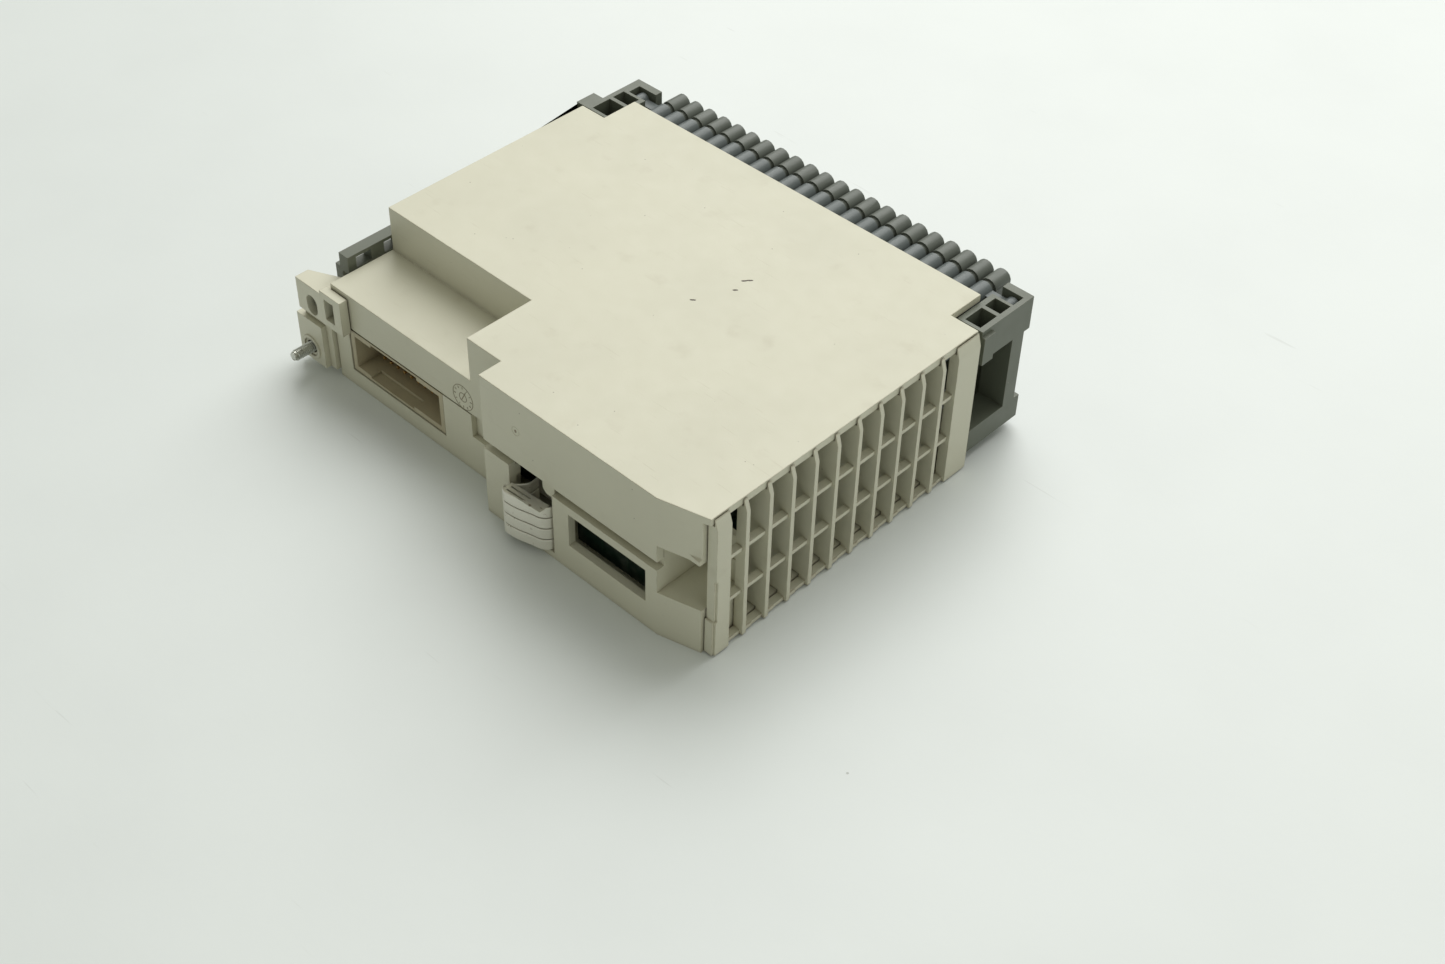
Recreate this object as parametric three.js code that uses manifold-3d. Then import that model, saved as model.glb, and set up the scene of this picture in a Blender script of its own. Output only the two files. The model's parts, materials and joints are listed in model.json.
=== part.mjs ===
// A slim input/output module for a modular controller, lying on its side.
// X runs from the mounting ear to the ventilation grille, Y from the rear to the terminal front.
// Z is the thickness.
// The design frame starts at the outside of the ear-end wall, at the rear face and at the lower side.
import * as THREE from 'three';
import { mergeVertices } from 'three/addons/utils/BufferGeometryUtils.js';
import Module from 'manifold-3d';

const wasm = await Module();
wasm.setup();

// ---- driving dimensions, millimetres ----
const WIDTH = 40.6;                 // thickness of the module, its pitch on the rack
const CASE_DEPTH = 100;             // rear face to the front edge of the side panel
const WALL = 2;                     // moulded wall of both shells
const GAP = 0.3;                    // gap between pieces that meet
const SLIP = 0.05;                  // radial running clearance of a pin in its hole
const BITE = 0.5;                   // how far joined shapes run into each other
const OVERRUN = 1;                  // how far a cutting shape runs past what it cuts

const TERMINAL_PITCH = 5;           // spacing of the terminals
const POLES = 11;                   // terminals on one plug
const PLUGS = 2;                    // plugs in the row
const ROW_MARGIN = 1.5;             // spare length at each end of the terminal row
const EAR_NOTCH = 7.9;              // corner of the panel cut away at the ear end
const GRILLE_NOTCH = 9.1;           // corner of the panel cut away at the grille end
const NOTCH_DEPTH = 10.8;           // length of both corner cuts along the depth

const EAR_REACH = 12;               // the ear stands out this far from the end wall
const EAR_REAR = 3.9;               // rear face of the ear
const EAR_TIP_DEPTH = 3.1;          // thickness of the ear at its tip
const EAR_ROOT_DEPTH = 8.6;         // thickness of the ear at the case
const EAR_BOTTOM = 2;               // lower edge of the ear
const EAR_DROP = 2.2;               // upper edge of the ear below the platform
const PAD_TOP = 14.6;               // upper edge of the screw pad
const EAR_UPPER_START = 17;         // lower edge of the upper part of the ear
const EAR_TIP_CUT = 1.6;            // the upper part is shorter than the pad by this
const EAR_ROOT_GROOVE = 2.2;        // width of the groove between the pad and the case
const PAD_RELIEF = 1.5;             // depth of the grooves round the pad
const EAR_ROOT_RELIEF = 2.8;        // rear face of the ear's root below the ear's own
const RING_RISE = 0.4;              // raised ring on the pad
const RING_RADIUS = 3.3;
const COUNTERBORE_RADIUS = 2.5;
const EAR_SLOT_X = -4.85;           // oval slot of the ear
const EAR_SLOT_Z = 20.3;
const EAR_SLOT_RADIUS = 1.95;
const EAR_SLOT_STRAIGHT = 1.8;      // straight length between the slot's round ends
const BOSS_LENGTH = 7.6;            // boss beside the ear, over the case
const BOSS_RISE = 1;                // boss above the upper edge of the ear
const BOSS_HOLE_X = 0.4;            // rectangular hole of the boss
const BOSS_HOLE_LENGTH = 3.4;
const BOSS_HOLE_BOTTOM = 19;
const BOSS_HOLE_HEIGHT = 6;

const STEP_X = 61.7;                // where the rear face steps out
const REAR_STEP = 6.5;              // how far the connector side is set back
const PLATFORM_X = 50.4;            // length of the lower platform
const PLATFORM_Y = 25.7;            // front edge of the lower platform
const PLATFORM_DROP = 12.4;         // platform below the side panel
const SEAM_Z = 19.5;                // upper edge of the base shell at the rear
const SEAM_GAP = 2.4;               // open groove between the two shells at the rear
const LEFT_SEAM_DROP = 1.9;         // the base shell is lower by this on the connector side
const LIP = 1.2;                    // thickness of the lip that bridges the groove
const LIP_RISE = 3.5;               // height of the lip above the seam
const LIP_SLACK = 0.2;              // lip inside the wall of the upper shell
const HOOK_NOTCH_LENGTH = 6.4;      // notch for the hook in the connector side
const HOOK_NOTCH_MARGIN = 5.5;      // from the notch to the step
const HOOK_NOTCH_HEIGHT = 6.6;
const HOOK_NOTCH_DEPTH = 1.4;
const TAB_LENGTH = 4;               // rounded tab over the earth fingers
const TAB_GAP = 2.4;                // tab above the highest strip
const TAB_CORNER = 1.2;
const TAB_INSET = 0.9;              // rear face of the tab behind the rear face
const TAB_THICKNESS = 1.1;

const FACET_RUN = 13.5;             // length of the chamfered rear corner along the height
const FACET_DEPTH = 3.3;            // how far the chamfered corner falls back
const POCKET_BOTTOM = 13;           // floor of the grip pocket in the chamfered corner
const POCKET_RISE = 4.8;            // ceiling of the grip pocket above the upper shell's lower edge
const POCKET_DEPTH = 14;            // depth of the grip pocket
const RIB = 1.5;                    // wall of the pocket and of inner ribs

const GRILLE_THICKNESS = 2.7;       // depth of the ventilation grille
const GRILLE_BOTTOM = 0.4;          // lower edge of the grille
const RAIL_THICKNESS = 1.9;         // depth of the rails between the fins, set back from their edges
const RAIL_COUNT = 3;               // one rail under each row of cells
const RAIL_HEIGHT = 1.1;
const FIN_THICKNESS = 1.2;          // grille fin
const FIN_COUNT = 10;               // number of fins
const FIN_CHAMFER = 3.1;            // height of the chamfer at the top of each fin
const FIN_ROOT = 3;                 // fins run this far into the case, except beside the grip pocket
const FIN_LEAD = 0.6;               // first fin behind the corner post, as a share of the fin pitch
const FOOT_LENGTH = 2.4;            // small foot beside each fin
const FOOT_HEIGHT = 1;
const FOOT_INSET = 0.6;
const PANEL_LAP = 1.2;              // the side panel ends this far inside the grille face
const CORNER_POST_START = 4;        // rear edge of the corner post
const CORNER_POST_LENGTH = 4.3;
const POST_STEP_BOTTOM = 10.5;      // lower edge of the thinner stretch of the corner post
const POST_STEP_TOP = 22.5;
const END_FRAME_WIDTH = 7.7;        // broad end frame of the grille
const FRAME_END_GAP = 0.2;          // grille behind the corner cut

const CONNECTOR_X = 5.2;            // start of the bus connector opening
const CONNECTOR_LENGTH = 34.5;      // length of the opening
const CONNECTOR_DEPTH = 11.3;       // depth of the connector housing
const CONNECTOR_WALL = 1.5;         // wall of the connector housing
const CONNECTOR_SETBACK = 0.2;      // mouth of the connector behind the rear wall
const KEY_WALL = 0.7;               // wall left beside the polarising steps
const KEY_DEPTH = 3;
const UPPER_KEY = [6, 8];           // ends of the upper polarising step from the connector's inner ends
const LOWER_KEY = [5, 10];          // ends of the lower one
const CONTACT_PITCH = 2.54;         // spacing of the bus pins
const CONTACT_ROWS = 3;
const CONTACT_COLUMNS = 10;
const CONTACT_SIZE = 0.64;          // side of a square pin
const CONTACT_RECESS = 4.9;         // pin tips behind the mouth of the connector
const CARRIER_THICKNESS = 1.4;      // plate that holds the pins

const WINDOW_LENGTH = 23.9;         // rear window
const WINDOW_BOTTOM = 7.8;
const WINDOW_TOP = 17.2;
const WINDOW_MARGIN = 3.5;          // from the window to the chamfered corner

const FINGER_SLOT_X = 70;           // opening for the earth fingers
const FINGER_SLOT_LENGTH = 14;
const FINGER_FLOOR_GAP = 0.2;       // lowest strip above the floor of the case
const FINGER_COUNT = 4;
const FINGER_HEIGHT = 3;            // width of one strip
const FINGER_SPACE = 0.3;           // space between neighbouring strips
const FINGER_THICKNESS = 0.5;
const FINGER_REACH = 3.3;           // centre of the strip in front of the rear face
const FINGER_TRAVEL = 2;            // room behind the strips for their spring travel
const FINGER_ROOT = 3;              // root of the strips behind the lip
const STRIP_THICKNESS = 0.6;        // carrier strip of the fingers
const STRIP_FOOT = 6;               // length of its foot on the main board

const BARREL_PROUD = 14;            // barrel ends in front of the side panel's edge
const PLUG_HEAD_LENGTH = 5.6;       // rear face of the plug head to the barrel ends
const HEADER_TO_PLUG = 1.2;         // dark groove between header and plugs
const HEADER_SETBACK = 1.8;         // header in front of the corner cut
const BARREL_CLEARANCE = 0.16;      // half the space between neighbouring barrels
const PANEL_CLEARANCE = 0.25;       // barrels below the side panel
const HEADER_DROP = 11.2;           // header bottom below the barrel axes
const TONGUE_RISE = 2.6;            // plug tongue above the header's bottom
const TONGUE_DROP = 2.9;            // plug tongue below the barrel axes
const CAVITY_SIDE = 1;              // header wall beside the plug tongue
const CAVITY_FLOOR = 4;             // header wall behind the plug tongue
const TONGUE_END_SPACE = 1;         // tongue tip to the cavity floor
const PIN_SIZE = 1;                 // side of a square terminal pin
const PIN_ROOM = 0.3;               // clearance round a pin in its socket
const PIN_TAIL = 4;                 // pin behind the header
const PIN_SETBACK = 3;              // pin tip behind the header's front face
const BARREL_SIDES = 14;            // facets round a terminal barrel
const SCREW_SIDES = 10;             // facets round a terminal screw and its hole
const SHANK_SIDES = 8;
const NECK_RADIUS = 1.75;           // necks between header and plug barrels
const SCREW_HEAD_RADIUS = 1.55;
const SCREW_SHANK_RADIUS = 1.05;
const SCREW_LENGTH = 3.4;
const SCREW_HEAD_HEIGHT = 1.5;
const SCREW_RECESS = 0.8;           // screw head below the end of its barrel
const SCREW_ROOM = 0.2;             // radial clearance of a screw in its hole
const SCREW_SLOT_WIDTH = 0.6;
const SCREW_SLOT_DEPTH = 0.7;
const WIRE_HOLE = 3;                // width of a wire entry
const WIRE_HOLE_RISE = 1.6;         // wire entry above the plug's bottom
const WIRE_HOLE_HEIGHT = 3.4;
const PLUG_FACE_STEP = 1.4;         // plug face behind the barrel ends

const PEG_INSET = 3.8;              // header peg from the inner face of its bracket
const PEG_RADIUS = 1.9;
const PEG_LENGTH = 2.8;             // peg behind the header's front face
const PEG_PROUD = 0.4;              // peg in front of it
const BRIDGE_BELOW = 1.6;           // bridge from header to peg, below the barrel axes
const BRIDGE_ABOVE = 0.8;
const SOCKET_ROOM = 0.3;            // clearance round a peg and its bridge

const FRAME_SETBACK = 2;            // end brackets in front of the corner cut
const FRAME_PROUD = 10.2;           // front face of the front frame in front of the panel's edge
const LEG_LENGTH = 4.4;             // bracket leg, from its rear face to the plate's front
const LEG_SETBACK = 2;              // leg's front face behind the frame's
const FRAME_PLATE = 1.8;            // thickness of the front plate
const PLATE_SETBACK = 3;            // front plate behind the frame's front face
const PLATE_LAP = 2;                // front plate runs under the brackets by this
const FRAME_BOTTOM = 2.6;           // lower edge of the front frame
const FRAME_RISE = 0.2;             // frame's top above the panel's inner face
const BRACKET_BAR = 9.3;            // height of the upper bar of a bracket
const LOWER_BAR = 6.6;              // height of the lower bar
const BRACKET_OUTSET = 1.4;         // bracket behind the grille face
const HOOK_RISE = 0.9;              // hook tab proud of the bracket
const HOOK_LENGTH = 4;
const HOOK_DROP = 1.5;              // hook tab below the bracket's top
const WELL_WALL = 1.5;              // wall round the wells of the upper bar
const WELL_FLOOR = 1.4;
const WELL_LENGTH = 6;
const WELL_START = 1;
const WELL_WEB = 1.2;
const SECOND_WELL_LENGTH = 3.8;
const ARM_OUTSET = 1;               // arm beside the ear-end wall
const ARM_THICKNESS = 3.4;
const ARM_REAR = 13;                // rear end of the long arm
const ARM_DROP = 7;                 // upper edge of the arm below the panel's inner face
const ARM_HEIGHT = 5;
const ARM_HEAD_LENGTH = 6;          // arm's lap on the bracket
const ARM_WINDOW_LENGTH = 4.6;      // windows of the arm
const ARM_WINDOW_START = 2.5;
const ARM_WINDOW_PITCH = 8.5;
const ARM_WINDOW_COUNT = 2;
const ARM_WINDOW_WALL = 1;
const ARM_TONGUE_WIDTH = 2.7;       // tongue that hooks into the ear's oval slot
const ARM_TONGUE_HEIGHT = 3.4;
const ARM_TONGUE_REAR = 5.6;
const ARM_TONGUE_DEPTH = 2;         // thickness of the drop to the tongue

const HINGE_PROUD = 11.9;           // hinge line of the label flap, in front of the panel's edge
const HINGE_RISE = 0.6;             // hinge line above the frame's lower edge
const FLAP_PIN_RADIUS = 0.8;
const PIN_END = 0.8;                // hinge pin beyond the terminal row at each end
const KNUCKLE_RADIUS = 1.6;
const LUG_LAP = 1;                  // hinge lugs beyond the terminal row at each end
const LUG_BELOW = 0.6;
const LUG_ABOVE = 1.2;
const LUG_ROOT = 4;                 // root of the lugs behind the frame's front face
const FLAP_THICKNESS = 1.4;
const FLAP_GAP = 1.2;               // upper edge of the flap below the terminal header
const FLAP_MARGIN = 2;              // flap shorter than the terminal row at each end
const FLAP_LIP = 1.2;               // side lips of the flap
const FLAP_LIP_REACH = 1.5;         // lips behind the hinge line
const FLAP_LIP_START = 6;           // lower end of the side lips
const CATCH_HEIGHT = 1;
const CARD_MARGIN = 1.5;            // label card inside the flap
const CARD_THICKNESS = 0.4;
const CARD_GAP = 0.2;

const SCREW_X = -7.4;               // captive screw
const SCREW_Z = 6.2;
const CAPTIVE_RADIUS = 1.45;
const CAPTIVE_CLEARANCE = 0.3;      // radial clearance of the thread in the ear
const CAPTIVE_NECK = 1.1;
const CAPTIVE_TIP = -2;             // screw tip behind the rear face
const CAPTIVE_POINT = 0.4;          // point of the thread, in length and in radius
const CAPTIVE_HEAD_HEIGHT = 2.6;
const CAPTIVE_HEAD_RADIUS = 2.9;
const CAPTIVE_SLOT_DEPTH = 1.3;
const CAPTIVE_SLOT_WIDTH = 0.8;
const WASHER_RIM = 0.7;             // washer wider than the head by this
const WASHER_THICKNESS = 0.8;
const WASHER_SLIP = 0.1;            // clearance of neck and head in the washer

const BOARD_THICKNESS = 1.6;
const BOARD_RISE = 1.2;             // underside of the main board above the floor of the case
const BOARD_EDGE = 3.8;             // boards inside the case walls
const BOARD_REAR = 11;              // rear edge of the main board
const BOARD_FRONT_GAP = 4;          // front edge of the main board behind the corner cut
const POST_RADIUS = 3;              // posts under the board pillars
const PILLAR_RADIUS = 2.4;
const SHORT_PILLAR = 12;            // pillar beside the upper board
const UPPER_BOARD_RISE = 1.7;       // upper board above the bottom of the header
const UPPER_BOARD_CUT = 18;         // upper board shorter than the case by this
const UPPER_BOARD_GAP = 0.6;        // to the header
const PART_HEADROOM = 2;            // upper board above the tallest parts
const FILTER_GAP = 1.3;             // filter board behind the lip
const FILTER_LAP = 2;               // filter board past the ear-side end of the window
const FILTER_FOOT = 0.6;            // filter board above the main board
const SINK_BACK = 3;                // heat sink's back plate
const SINK_RIB_LENGTH = 13;
const SINK_RIB = 1.2;
const SINK_RIB_PITCH = 3.2;
const SINK_LENGTH = 17;
const SINK_END_GAP = 1.2;           // heat sink to the roots of the grille's fins
const SINK_FRONT_GAP = 5;           // heat sink behind the corner cut

const CHIP_X = 22;                  // bus interface chip
const CHIP_Y = 40;
const CHIP_SIDE = 22;
const CHIP_HEIGHT = 3.6;
const CONVERTER_X = 52;             // isolating converter
const CONVERTER_Y = 36;
const CONVERTER_LENGTH = 22;
const CONVERTER_DEPTH = 16;
const CONVERTER_HEIGHT = 9;
const CAPACITOR_X = 86;
const CAPACITOR_Y = 36;
const CAPACITOR_RADIUS = 5;
const CAPACITOR_SPACE = 3;
const LINK_X = 68;                  // connector between the two boards
const LINK_Y = 66;
const LINK_LENGTH = 30;
const LINK_DEPTH = 5;
const FUSE_START = 30;
const FUSE_LENGTH = 24;
const FUSE_RADIUS = 2.6;
const FUSE_RISE = 4.5;              // fuse axis above the board
const FUSE_SETBACK = 12;            // behind the corner cut
const FUSE_CAP = 2;                 // fuse end to its clip
const FUSE_CLIP = 3;

const LED_START = 22;               // status lamps
const LED_LENGTH = 38;
const LED_DEPTH = 6;
const LED_TOP = 13;
const GUIDE_LAP = 1.7;              // light guide longer than the lamps at each end
const GUIDE_BOTTOM = 9.3;
const GUIDE_HEIGHT = 2.8;
const GUIDE_DEPTH = 4.4;
const GUIDE_SLOT_ROOM = 0.3;        // clearance of the light guide in the front plate

// ---- worked-out dimensions ----
const ROW_LENGTH = TERMINAL_PITCH * POLES * PLUGS;
const CASE_HEIGHT = EAR_NOTCH + GRILLE_NOTCH + ROW_LENGTH + 2 * ROW_MARGIN;
const ROW_START = EAR_NOTCH + ROW_MARGIN;
const ROW_END = ROW_START + ROW_LENGTH;
const NOTCH_Y = CASE_DEPTH - NOTCH_DEPTH;
const PLATFORM_Z = WIDTH - PLATFORM_DROP;
const PANEL_Z = WIDTH - WALL;
const FINGER_Z = WALL + FINGER_FLOOR_GAP;      // lower edge of the lowest strip
const FINGER_TOP = FINGER_Z + FINGER_COUNT * (FINGER_HEIGHT + FINGER_SPACE) - FINGER_SPACE;
const LEFT_SEAM_Z = SEAM_Z - LEFT_SEAM_DROP;
const COVER_EDGE = SEAM_Z + SEAM_GAP;          // lower edge of the upper shell at the rear
const COVER_LEFT_EDGE = LEFT_SEAM_Z + GAP;
const POCKET_TOP = COVER_EDGE + POCKET_RISE;
const SHELL_END = CASE_HEIGHT - GRILLE_THICKNESS - GAP;
const PANEL_END = CASE_HEIGHT - PANEL_LAP;
const FACET_START = CASE_HEIGHT - FACET_RUN;
const WINDOW_END = FACET_START - WINDOW_MARGIN;
const EAR_TOP = PLATFORM_Z - EAR_DROP;
const EAR_FRONT = EAR_REAR + EAR_TIP_DEPTH;
const EAR_ROOT = EAR_REAR + EAR_ROOT_DEPTH;
const BARREL_RADIUS = TERMINAL_PITCH / 2 - BARREL_CLEARANCE;
const BARREL_Z = PANEL_Z - PANEL_CLEARANCE - BARREL_RADIUS;
const BARREL_FRONT = CASE_DEPTH + BARREL_PROUD;
const PLUG_REAR = BARREL_FRONT - PLUG_HEAD_LENGTH;
const HEADER_FRONT = PLUG_REAR - HEADER_TO_PLUG;
const HEADER_REAR = NOTCH_Y + HEADER_SETBACK;
const HEADER_Z = BARREL_Z - HEADER_DROP;
const FRAME_REAR = NOTCH_Y + FRAME_SETBACK;
const FRAME_FRONT = CASE_DEPTH + FRAME_PROUD;
const FRAME_TOP = PANEL_Z + FRAME_RISE;
const LEG_FRONT = FRAME_FRONT - LEG_SETBACK;
const PLATE_FRONT = FRAME_FRONT - PLATE_SETBACK;
const BRACKET_X = [ROW_END + ROW_MARGIN + GAP, ROW_START - ROW_MARGIN - GAP];  // inner faces of the brackets
const ARM_TOP = PANEL_Z - ARM_DROP;
const ARM_BOTTOM = ARM_TOP - ARM_HEIGHT;
const HINGE_Y = CASE_DEPTH + HINGE_PROUD;
const HINGE_Z = FRAME_BOTTOM + HINGE_RISE;
const FLAP_TOP = HEADER_Z - FLAP_GAP;
const CAPTIVE_HOLE = CAPTIVE_RADIUS + CAPTIVE_CLEARANCE;
const WASHER_RADIUS = CAPTIVE_HEAD_RADIUS + WASHER_RIM;
const BOARD_Z = WALL + BOARD_RISE;
const BOARD_TOP = BOARD_Z + BOARD_THICKNESS;
const CONNECTOR_Z = BOARD_TOP;                 // lower edge of the bus connector opening
const PART_Z = BOARD_TOP + GAP;                // underside of what stands on the main board
const UPPER_BOARD_Z = HEADER_Z + UPPER_BOARD_RISE;
const ORIGIN_X = (CASE_HEIGHT - EAR_REACH) / 2;
const ORIGIN_Y = (BARREL_FRONT - FINGER_REACH - FINGER_THICKNESS / 2) / 2;

// ---- materials ----
const finish = (color, roughness, metalness = 0) =>
  new THREE.MeshStandardMaterial({ color, roughness, metalness });
const BEIGE = finish(0xd6d3c0, 0.62);
const OLIVE = finish(0x5d5f55, 0.55);
const SLATE = finish(0x73797b, 0.5);
const TAN = finish(0xcfc7ae, 0.5);
const BRASS = finish(0xa98348, 0.35, 1);
const TIN = finish(0xb9b5a8, 0.35, 1);
const ZINC = finish(0xa7a89c, 0.35, 1);
const BOARD_GREEN = finish(0x1f3d2b, 0.45);
const BLACK = finish(0x1b1c1d, 0.5);
const CARD = finish(0xe8e6dc, 0.8);
const CLEAR = finish(0xc9d3cf, 0.2);
const ALUMINIUM = finish(0x3a3d3f, 0.5, 0.6);

// ---- solids ----
function solid(geometry) {
  const bare = geometry.index ? geometry.toNonIndexed() : geometry;
  bare.deleteAttribute('normal');
  bare.deleteAttribute('uv');
  const merged = mergeVertices(bare, 1e-4);
  return new wasm.Manifold(new wasm.Mesh({
    numProp: 3,
    vertProperties: new Float32Array(merged.attributes.position.array),
    triVerts: new Uint32Array(merged.index.array),
  }));
}

function box(x0, x1, y0, y1, z0, z1) {
  const geometry = new THREE.BoxGeometry(x1 - x0, y1 - y0, z1 - z0);
  geometry.translate((x0 + x1) / 2, (y0 + y1) / 2, (z0 + z1) / 2);
  return solid(geometry);
}

function extrude(points, depth) {
  const shape = new THREE.Shape(points.map(([a, b]) => new THREE.Vector2(a, b)));
  return new THREE.ExtrudeGeometry(shape, { depth, bevelEnabled: false, steps: 1 });
}

// A prism along Z over an outline of [x, y] points.
function prism(points, z0, z1) {
  return solid(extrude(points, z1 - z0).translate(0, 0, z0));
}

// A prism along Y over an outline of [x, z] points.
function prismY(points, y0, y1) {
  return solid(extrude(points, y1 - y0).rotateX(Math.PI / 2).translate(0, y1, 0));
}

// A cylinder along Y between y0 and y1.
function rodY(x, z, radius, y0, y1, sides = 16) {
  const geometry = new THREE.CylinderGeometry(radius, radius, y1 - y0, sides);
  return solid(geometry.translate(x, (y0 + y1) / 2, z));
}

// A cylinder along X between x0 and x1.
function rodX(y, z, radius, x0, x1, sides = 16) {
  const geometry = new THREE.CylinderGeometry(radius, radius, x1 - x0, sides);
  return solid(geometry.rotateZ(Math.PI / 2).translate((x0 + x1) / 2, y, z));
}

// A cylinder along Z between z0 and z1.
function rodZ(x, y, radius, z0, z1, sides = 16) {
  const geometry = new THREE.CylinderGeometry(radius, radius, z1 - z0, sides);
  return solid(geometry.rotateX(Math.PI / 2).translate(x, y, (z0 + z1) / 2));
}

// A square bar along Y between y0 and y1.
const squarePin = (x, z, side, y0, y1) => box(x - side / 2, x + side / 2, y0, y1, z - side / 2, z + side / 2);

const join = (...solids) => solids.reduce((whole, piece) => whole.add(piece));
const cut = (body, ...tools) => tools.reduce((rest, tool) => rest.subtract(tool), body);

// The outline moved inwards by a distance; the points run counter-clockwise.
function inset(points, distance) {
  const count = points.length;
  const edges = points.map((start, i) => {
    const end = points[(i + 1) % count];
    const run = [end[0] - start[0], end[1] - start[1]];
    const length = Math.hypot(run[0], run[1]);
    const direction = [run[0] / length, run[1] / length];
    return { at: [start[0] - direction[1] * distance, start[1] + direction[0] * distance], direction };
  });
  return points.map((_, i) => {
    const before = edges[(i + count - 1) % count];
    const after = edges[i];
    const cross = before.direction[0] * after.direction[1] - before.direction[1] * after.direction[0];
    const between = [after.at[0] - before.at[0], after.at[1] - before.at[1]];
    const along = (between[0] * after.direction[1] - between[1] * after.direction[0]) / cross;
    return [before.at[0] + before.direction[0] * along, before.at[1] + before.direction[1] * along];
  });
}

// A strip of even thickness along an open line of [x, y] points.
function ribbon(points, thickness) {
  const sides = [1, -1].map((side) => points.map((point, i) => {
    const before = points[Math.max(i - 1, 0)];
    const after = points[Math.min(i + 1, points.length - 1)];
    const into = new THREE.Vector2(point[0] - before[0], point[1] - before[1]).normalize();
    const out = new THREE.Vector2(after[0] - point[0], after[1] - point[1]).normalize();
    const mean = into.clone().add(out).normalize();
    const stretch = 1 / Math.max(mean.dot(i === 0 ? out : into), 0.5);
    const reach = side * thickness / 2 * (i === 0 || i === points.length - 1 ? 1 : stretch);
    return [point[0] - mean.y * reach, point[1] + mean.x * reach];
  }));
  return [...sides[0], ...sides[1].reverse()];
}

const module = new THREE.Group();
module.position.set(-ORIGIN_X, -ORIGIN_Y, 0);

function addPiece(name, body, material) {
  const mesh = body.getMesh();
  const geometry = new THREE.BufferGeometry();
  geometry.setAttribute('position', new THREE.BufferAttribute(new Float32Array(mesh.vertProperties), 3));
  geometry.setIndex(new THREE.BufferAttribute(new Uint32Array(mesh.triVerts), 1));
  geometry.computeVertexNormals();
  const piece = new THREE.Mesh(geometry, material);
  piece.name = name;
  module.add(piece);
}

// ---- outlines of the case seen from the side ----
const facetY = (x) => FACET_DEPTH * (x - FACET_START) / (FACET_RUN - PANEL_LAP);

// The rear edge of the module from the step to the chamfered corner, ending at a given height.
const steppedRear = (end) => [[STEP_X, REAR_STEP], [STEP_X, 0], [FACET_START, 0], [end, facetY(end)]];

function caseOutline() {
  return [[0, REAR_STEP], ...steppedRear(SHELL_END), [SHELL_END, NOTCH_Y], [0, NOTCH_Y]];
}

// The case above the lower platform.
function raisedOutline() {
  return [
    [0, PLATFORM_Y], [PLATFORM_X, PLATFORM_Y], [PLATFORM_X, REAR_STEP],
    ...steppedRear(SHELL_END), [SHELL_END, NOTCH_Y], [0, NOTCH_Y],
  ];
}

function panelOutline() {
  return [
    [0, PLATFORM_Y], [PLATFORM_X, PLATFORM_Y], [PLATFORM_X, REAR_STEP],
    ...steppedRear(PANEL_END), [PANEL_END, NOTCH_Y],
    [CASE_HEIGHT - GRILLE_NOTCH, NOTCH_Y], [CASE_HEIGHT - GRILLE_NOTCH, CASE_DEPTH],
    [EAR_NOTCH, CASE_DEPTH], [EAR_NOTCH, NOTCH_Y], [0, NOTCH_Y],
  ];
}

// The opening behind the terminals and the one behind the grille, from a given height upwards.
function frontOpening(z0, z1) {
  return box(WALL, SHELL_END - WALL, NOTCH_Y - WALL - BITE, NOTCH_Y + OVERRUN, z0, z1);
}

function grilleOpening(y0, z0, z1) {
  return box(SHELL_END - WALL - BITE, SHELL_END + OVERRUN, y0, NOTCH_Y - WALL, z0, z1);
}

// ---- upper shell with the broad side panel ----
function platform() {
  const front = PLATFORM_Y + WALL;
  const whole = box(0, STEP_X, REAR_STEP, front, COVER_LEFT_EDGE, PLATFORM_Z);
  const inside = box(WALL, STEP_X + OVERRUN, REAR_STEP + WALL, front + OVERRUN, 0, PLATFORM_Z - WALL);
  const underStep = box(PLATFORM_X + WALL, STEP_X + OVERRUN, REAR_STEP + WALL, front + OVERRUN, 0, WIDTH);
  return cut(whole, inside, underStep);
}

function fingerTab() {
  const end = FINGER_SLOT_X + FINGER_SLOT_LENGTH;
  const start = end - TAB_LENGTH;
  const low = FINGER_TOP + TAB_GAP;
  return prismY([
    [start, COVER_EDGE + OVERRUN], [start, low + TAB_CORNER], [start + TAB_CORNER, low],
    [end - TAB_CORNER, low], [end, low + TAB_CORNER], [end, COVER_EDGE + OVERRUN],
  ], TAB_INSET, TAB_INSET + TAB_THICKNESS);
}

function bossHole() {
  return box(BOSS_HOLE_X, BOSS_HOLE_X + BOSS_HOLE_LENGTH, 0, REAR_STEP + WALL + OVERRUN,
    BOSS_HOLE_BOTTOM, BOSS_HOLE_BOTTOM + BOSS_HOLE_HEIGHT);
}

function sideCover() {
  const panel = prism(panelOutline(), PANEL_Z, WIDTH);
  const walls = cut(
    prism(raisedOutline(), COVER_EDGE, PANEL_Z + BITE),
    prism(inset(raisedOutline(), WALL), 0, PANEL_Z),
  );
  const endWall = cut(
    box(0, WALL, REAR_STEP, NOTCH_Y, COVER_LEFT_EDGE, PANEL_Z),
    box(-OVERRUN, WALL + OVERRUN, 0, PLATFORM_Y, PLATFORM_Z, WIDTH),
  );
  const stepWall = box(STEP_X, STEP_X + WALL, 0, REAR_STEP + WALL, COVER_EDGE, PANEL_Z);
  const pocketRoof = box(FACET_START - RIB, SHELL_END, WALL, POCKET_DEPTH, POCKET_TOP, POCKET_TOP + RIB);
  return cut(
    join(panel, walls, platform(), endWall, stepWall, pocketRoof, fingerTab()),
    frontOpening(0, PANEL_Z),
    grilleOpening(CORNER_POST_START + CORNER_POST_LENGTH, 0, PANEL_Z),
    box(FACET_START, SHELL_END + OVERRUN, -OVERRUN, POCKET_DEPTH - RIB, 0, POCKET_TOP),
    bossHole(),
  );
}

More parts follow.
